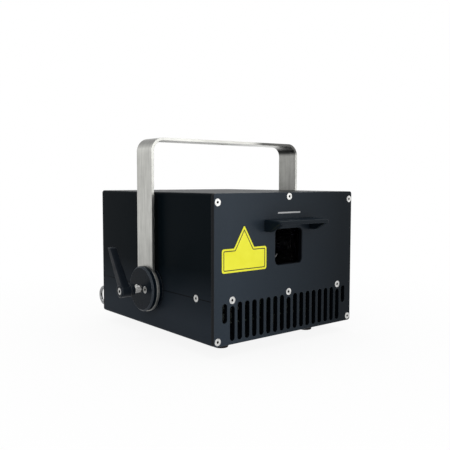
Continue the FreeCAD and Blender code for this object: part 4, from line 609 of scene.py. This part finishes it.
def front_plate():
    """A blank yellow plate with a pointed tab and a dark line, and a plain pale line above the hood."""
    base = FRONT_Y / MM
    underside = span("lower_pan")[0].z
    plate, line = 0.25, 0.05

    def radii(corner, notch, point):
        return [corner, corner, corner, notch, point, notch, corner]

    left, right, tab_left, tab_right = -90.8, -32.6, -75.4, -49.4
    low, shoulder, tip = underside + 71.5, underside + 95.2, underside + 117.6
    corners = [(left, low), (right, low), (right, shoulder), (tab_right, shoulder),
               ((tab_left + tab_right) / 2, tip), (tab_left, shoulder), (left, shoulder)]
    yellow = film("plate_yellow", rgba(240, 236, 36), rgba(248, 245, 58), 0.4)
    verts, faces = slab(rounded(corners, radii(2.4, 0.5, 1.0)), base, plate)
    piece("front_plate", verts, faces, "housing", yellow, 0.06)

    black = film("plate_line", rgba(26, 26, 22), rgba(40, 40, 34), 0.45)
    outer = rounded(inset(corners, 1.9), radii(1.4, 1.2, 0.5))
    inner = rounded(inset(corners, 2.8), radii(0.8, 1.9, 0.3))
    verts, faces = band(outer, inner, base - plate, line)
    piece("front_plate_line", verts, faces, "housing", black)

    white = film("print_white", rgba(176, 178, 180), rgba(200, 201, 203), 0.5)
    low, high, half, corner = underside + 127.5, underside + 129.1, 16.5, 0.7
    bar = [(-half, low), (half, low), (half, high), (-half, high)]
    verts, faces = slab(rounded(bar, [corner] * 4), base, line)
    piece("front_print", verts, faces, "housing", white)


def stud_threads():
    """The rolled thread on the bare length of each clamp stud, between its disc and its lever."""
    pitch, around, per_turn, gap = 1.25, 40, 8, 0.1
    root, crest = 3.92, 4.16
    low = span("right_disc")[1].x + gap
    high = span("right_lever")[0].x - gap
    rows = int((high - low) / pitch * per_turn)
    steel = plated("thread_steel", rgba(140, 140, 140), rgba(192, 192, 190), 0.26, reach=0.0004)
    for side, sign in SIDES:
        verts = []
        for row in range(rows + 1):
            x = low + (high - low) * row / rows
            fade = min(1.0, 4 * min(row, rows - row) / rows)
            for step, turn in enumerate(circle(around)):
                phase = ((x - low) / pitch + step / around) % 1.0
                ridge = 1 - abs(2 * phase - 1)
                verts.append(beside_pivot(sign * x, root + (crest - root) * ridge * fade, turn))
        faces = ring_faces(0, rows + 1, around)
        piece(f"{side}_stud_thread", verts, faces, f"{side}_stud", steel)


def lever_beads():
    """The moulded bead around each lever's hub, beside the root of its arm, in a paler plastic that paints
    a highlight along it.
    """
    around = 60
    middle = span("right_lever")[0].x + 4.75
    profile = [(6.9, -0.4), (7.1, -0.3), (7.2, 0.0), (7.1, 0.3), (6.9, 0.4)]
    # Paler than the levers' own plastic: painted highlight
    plastic = moulded("bead_plastic_highlit", rgba(26, 28, 31), rgba(44, 47, 51), rough=0.36)
    for side, sign in SIDES:
        verts = []
        for radius, offset in profile:
            verts += [beside_pivot(sign * (middle + offset), radius, turn) for turn in circle(around)]
        faces = ring_faces(0, len(profile), around, closed=True)
        piece(f"{side}_lever_bead", verts, faces, f"{side}_lever", plastic)


def signal_contacts():
    """The insert and its 25 contacts in each signal socket: pins in the upper one, sleeves in the lower."""
    pitch, row_offset, thick = 2.77, 1.42, 0.25
    half_low, half_high, half_tall, clearance = 17.9, 19.5, 4.2, 0.8
    black = moulded("insert_plastic", rgba(12, 12, 13), rgba(22, 22, 23), rough=0.55)
    gold = plated("contact_gold", rgba(170, 128, 48), rgba(222, 184, 96), 0.24, reach=0.0006)
    for name in ("signal_in", "signal_out"):
        high, middle = span(name)[1:]
        x, z, face = middle.x, middle.z, high.y + thick
        corners = [(x - half_low, z - half_tall), (x + half_low, z - half_tall),
                   (x + half_high, z + half_tall), (x - half_high, z + half_tall)]
        verts, faces = slab(rounded(inset(corners, clearance), [1.0] * 4), high.y, -thick)
        piece(f"{name}_insert", verts, faces, "housing", black, 0.05)
        places = []
        for count, offset in ((13, row_offset), (12, -row_offset)):
            places += [(x + pitch * (step - (count - 1) / 2), z + offset) for step in range(count)]
        if name == "signal_in":
            pin = [(0.5, face), (0.5, face + 0.7), (0.4, face + 0.95), (0.18, face + 1.1)]
            verts, faces = turned(places, pin)
        else:
            sleeve = [(0.8, face), (0.8, face + 0.12), (0.5, face + 0.12), (0.5, face)]
            verts, faces = turned(places, sleeve, closed=True)
        piece(f"{name}_contacts", verts, faces, "housing", gold)


def inlet_blades():
    """Bright metal over the three blades of the mains inlet."""
    bright = plated("blade_nickel", rgba(176, 174, 168), rgba(220, 218, 212), 0.26, reach=0.0006)
    high, middle = span("mains_inlet")[1:]
    coupler_x = middle.x - 10
    sections = [(high.y - 17.9, 1.06, 2.06), (high.y - 4.8, 1.06, 2.06), (high.y - 3.85, 0.7, 1.6)]
    verts, faces = [], []
    for across, rise in ((-7, -2), (0, 4), (7, -2)):
        x, z = coupler_x + across, middle.z + rise
        faces += ring_faces(len(verts), len(sections), 4)
        for y, wide, tall in sections:
            verts += [(x - wide, y, z - tall), (x + wide, y, z - tall), (x + wide, y, z + tall),
                      (x - wide, y, z + tall)]
    piece("inlet_blades", verts, faces, "housing", bright, 0.12)


def control_contacts():
    """Bright metal over the pins of one control socket and round the holes of the other."""
    silver = plated("contact_silver", rgba(188, 186, 180), rgba(228, 227, 222), 0.2, reach=0.0006)
    circle_radius, around = 4, 20
    face = span("control_in")[1].y
    pin = [(1.26, face - 13.9), (1.26, face - 3.6), (1.05, face - 3.1), (0.6, face - 2.88),
           (0.2, face - 2.82)]
    ring = [(1.9, face - 1.5), (1.9, face - 1.32), (1.42, face - 1.32), (1.42, face - 1.5)]
    for socket, name, profile, closed in (("control_in", "control_in_pins", pin, False),
                                          ("control_out", "control_out_rings", ring, True)):
        middle = span(socket)[2]
        places = []
        for turn in map(math.radians, (0, 180, 270)):
            places.append((middle.x + circle_radius * math.cos(turn),
                           middle.z + circle_radius * math.sin(turn)))
        verts, faces = turned(places, profile, closed, around)
        piece(name, verts, faces, "housing", silver)


def rocker_marks():
    """The off ring on the pressed half of the rocker and the on bar on the raised half."""
    white = film("mark_white", rgba(206, 208, 208), rgba(230, 231, 231), 0.5)
    high, middle = span("power_rocker")[1:]
    lift, around = 0.06, 28
    upper_fall, upper_length, lower_climb, lower_length = 0.5, 9.5, 1.7, 7.7
    ridge = high.y - lower_climb

    def on_rocker(across, rise, raised):
        """A point over the rocker's two slopes, from its place beside and above the ridge."""
        fall = upper_fall * rise / upper_length if rise > 0 else lower_climb * rise / lower_length
        return middle.x + across, ridge - fall + raised, middle.z + rise

    ring_rise, ring_radii = 4.6, (1.9, 1.35)
    verts = []
    for raised in (lift, 0):
        for radius in ring_radii:
            verts += [on_rocker(radius * math.cos(turn), ring_rise + radius * math.sin(turn), raised)
                      for turn in circle(around)]
    piece("rocker_off_mark", verts, band_faces(around), "power_rocker", white)

    half, bottom, top = 0.35, -6.0, -2.2
    verts = []
    for raised in (lift, 0):
        for across, rise in ((-half, bottom), (half, bottom), (half, top), (-half, top)):
            verts.append(on_rocker(across, rise, raised))
    piece("rocker_on_mark", verts, slab_faces(4), "power_rocker", white)


front_plate()
stud_threads()
lever_beads()
signal_contacts()
inlet_blades()
control_contacts()
rocker_marks()


# Floor, light and camera
def white_to_camera(tree, glow, plain, surface, fade=None):
    """Show white to the camera and in reflections, and the plain shader to all other light."""
    paths = tree.nodes.new("ShaderNodeLightPath")

    def combine(operation, first, second):
        node = tree.nodes.new("ShaderNodeMath")
        node.operation = operation
        tree.links.new(first, node.inputs[0])
        tree.links.new(second, node.inputs[1])
        return node.outputs["Value"]

    seen = combine("MAXIMUM", paths.outputs["Is Camera Ray"], paths.outputs["Is Glossy Ray"])
    seen = combine("MAXIMUM", seen, paths.outputs["Is Transmission Ray"])
    if fade:
        seen = combine("MULTIPLY", seen, fade)
    glow.inputs["Color"].default_value = WHITE
    glow.inputs["Strength"].default_value = 1.0
    mix = tree.nodes.new("ShaderNodeMixShader")
    tree.links.new(seen, mix.inputs["Fac"])
    tree.links.new(plain, mix.inputs[1])
    tree.links.new(glow.outputs[0], mix.inputs[2])
    tree.links.new(mix.outputs["Shader"], surface)


def studio():
    """An even white world that lights the part gently."""
    world = bpy.data.worlds.new("studio")
    scene.world = world
    world.use_nodes = True
    tree = world.node_tree
    plain = tree.nodes["Background"]
    plain.inputs["Color"].default_value = WHITE
    plain.inputs["Strength"].default_value = 0.45
    glow = tree.nodes.new("ShaderNodeBackground")
    white_to_camera(tree, glow, plain.outputs["Background"], tree.nodes["World Output"].inputs["Surface"])


def floor():
    """A white floor that shows a faint shadow near the part."""
    reach, near, far, near_white = 6.0, 0.12, 0.5, 0.9
    mesh = bpy.data.meshes.new("floor")
    mesh.from_pydata([(-reach, -reach, 0), (reach, -reach, 0), (reach, reach, 0), (-reach, reach, 0)],
                     [], [(0, 1, 2, 3)])
    plane = bpy.data.objects.new("floor", mesh)
    scene.collection.objects.link(plane)
    finish = Finish("floor")
    finish.set(Base_Color=(0.86, 0.86, 0.86, 1.0), Roughness=0.9, Specular_IOR_Level=0.0)
    away = finish.add("ShaderNodeVectorMath", operation="LENGTH")
    finish.feed(away, 0, finish.add("ShaderNodeNewGeometry").outputs["Position"])
    fade = finish.ramp(away.outputs["Value"], near_white, 1.0, near, far)
    white_to_camera(finish.tree, finish.add("ShaderNodeEmission"), finish.shader.outputs["BSDF"],
                    finish.tree.nodes["Material Output"].inputs["Surface"], fade)
    mesh.materials.append(finish.material)


def lamps():
    """Four soft square lamps aimed near the middle of the part."""
    aim = Vector((0, 0, 0.1))
    for name, place, size, power in (("overhead", (0.1, 0.1, 1.6), 1.6, 14),
                                     ("front_left", (-1.3, -0.9, 0.9), 1.0, 6),
                                     ("front_right", (0.72, -1.35, 0.34), 0.7, 5),
                                     ("rear", (0.2, 1.8, 0.7), 1.6, 2)):
        light = bpy.data.lights.new(name, "AREA")
        light.shape = "SQUARE"
        light.size = size
        light.energy = power
        item = bpy.data.objects.new(name, light)
        scene.collection.objects.link(item)
        item.location = place
        item.rotation_euler = (Vector(place) - aim).to_track_quat("Z", "Y").to_euler()


def camera():
    """The photograph's camera, as it was fitted to the edges of the box."""
    place = (-0.4565, -0.5761, 0.1742)
    heading, down, roll = -38.747, 4.150, 0.07
    data = bpy.data.cameras.new("camera")
    data.sensor_width = 36.0
    data.lens = 49.056
    data.clip_start = 0.01
    item = bpy.data.objects.new("camera", data)
    scene.collection.objects.link(item)
    turn = (Matrix.Rotation(math.radians(heading), 4, "Z")
            @ Matrix.Rotation(math.radians(90 - down), 4, "X")
            @ Matrix.Rotation(math.radians(roll), 4, "Z"))
    item.matrix_world = Matrix.Translation(place) @ turn
    scene.camera = item


studio()
floor()
lamps()
camera()
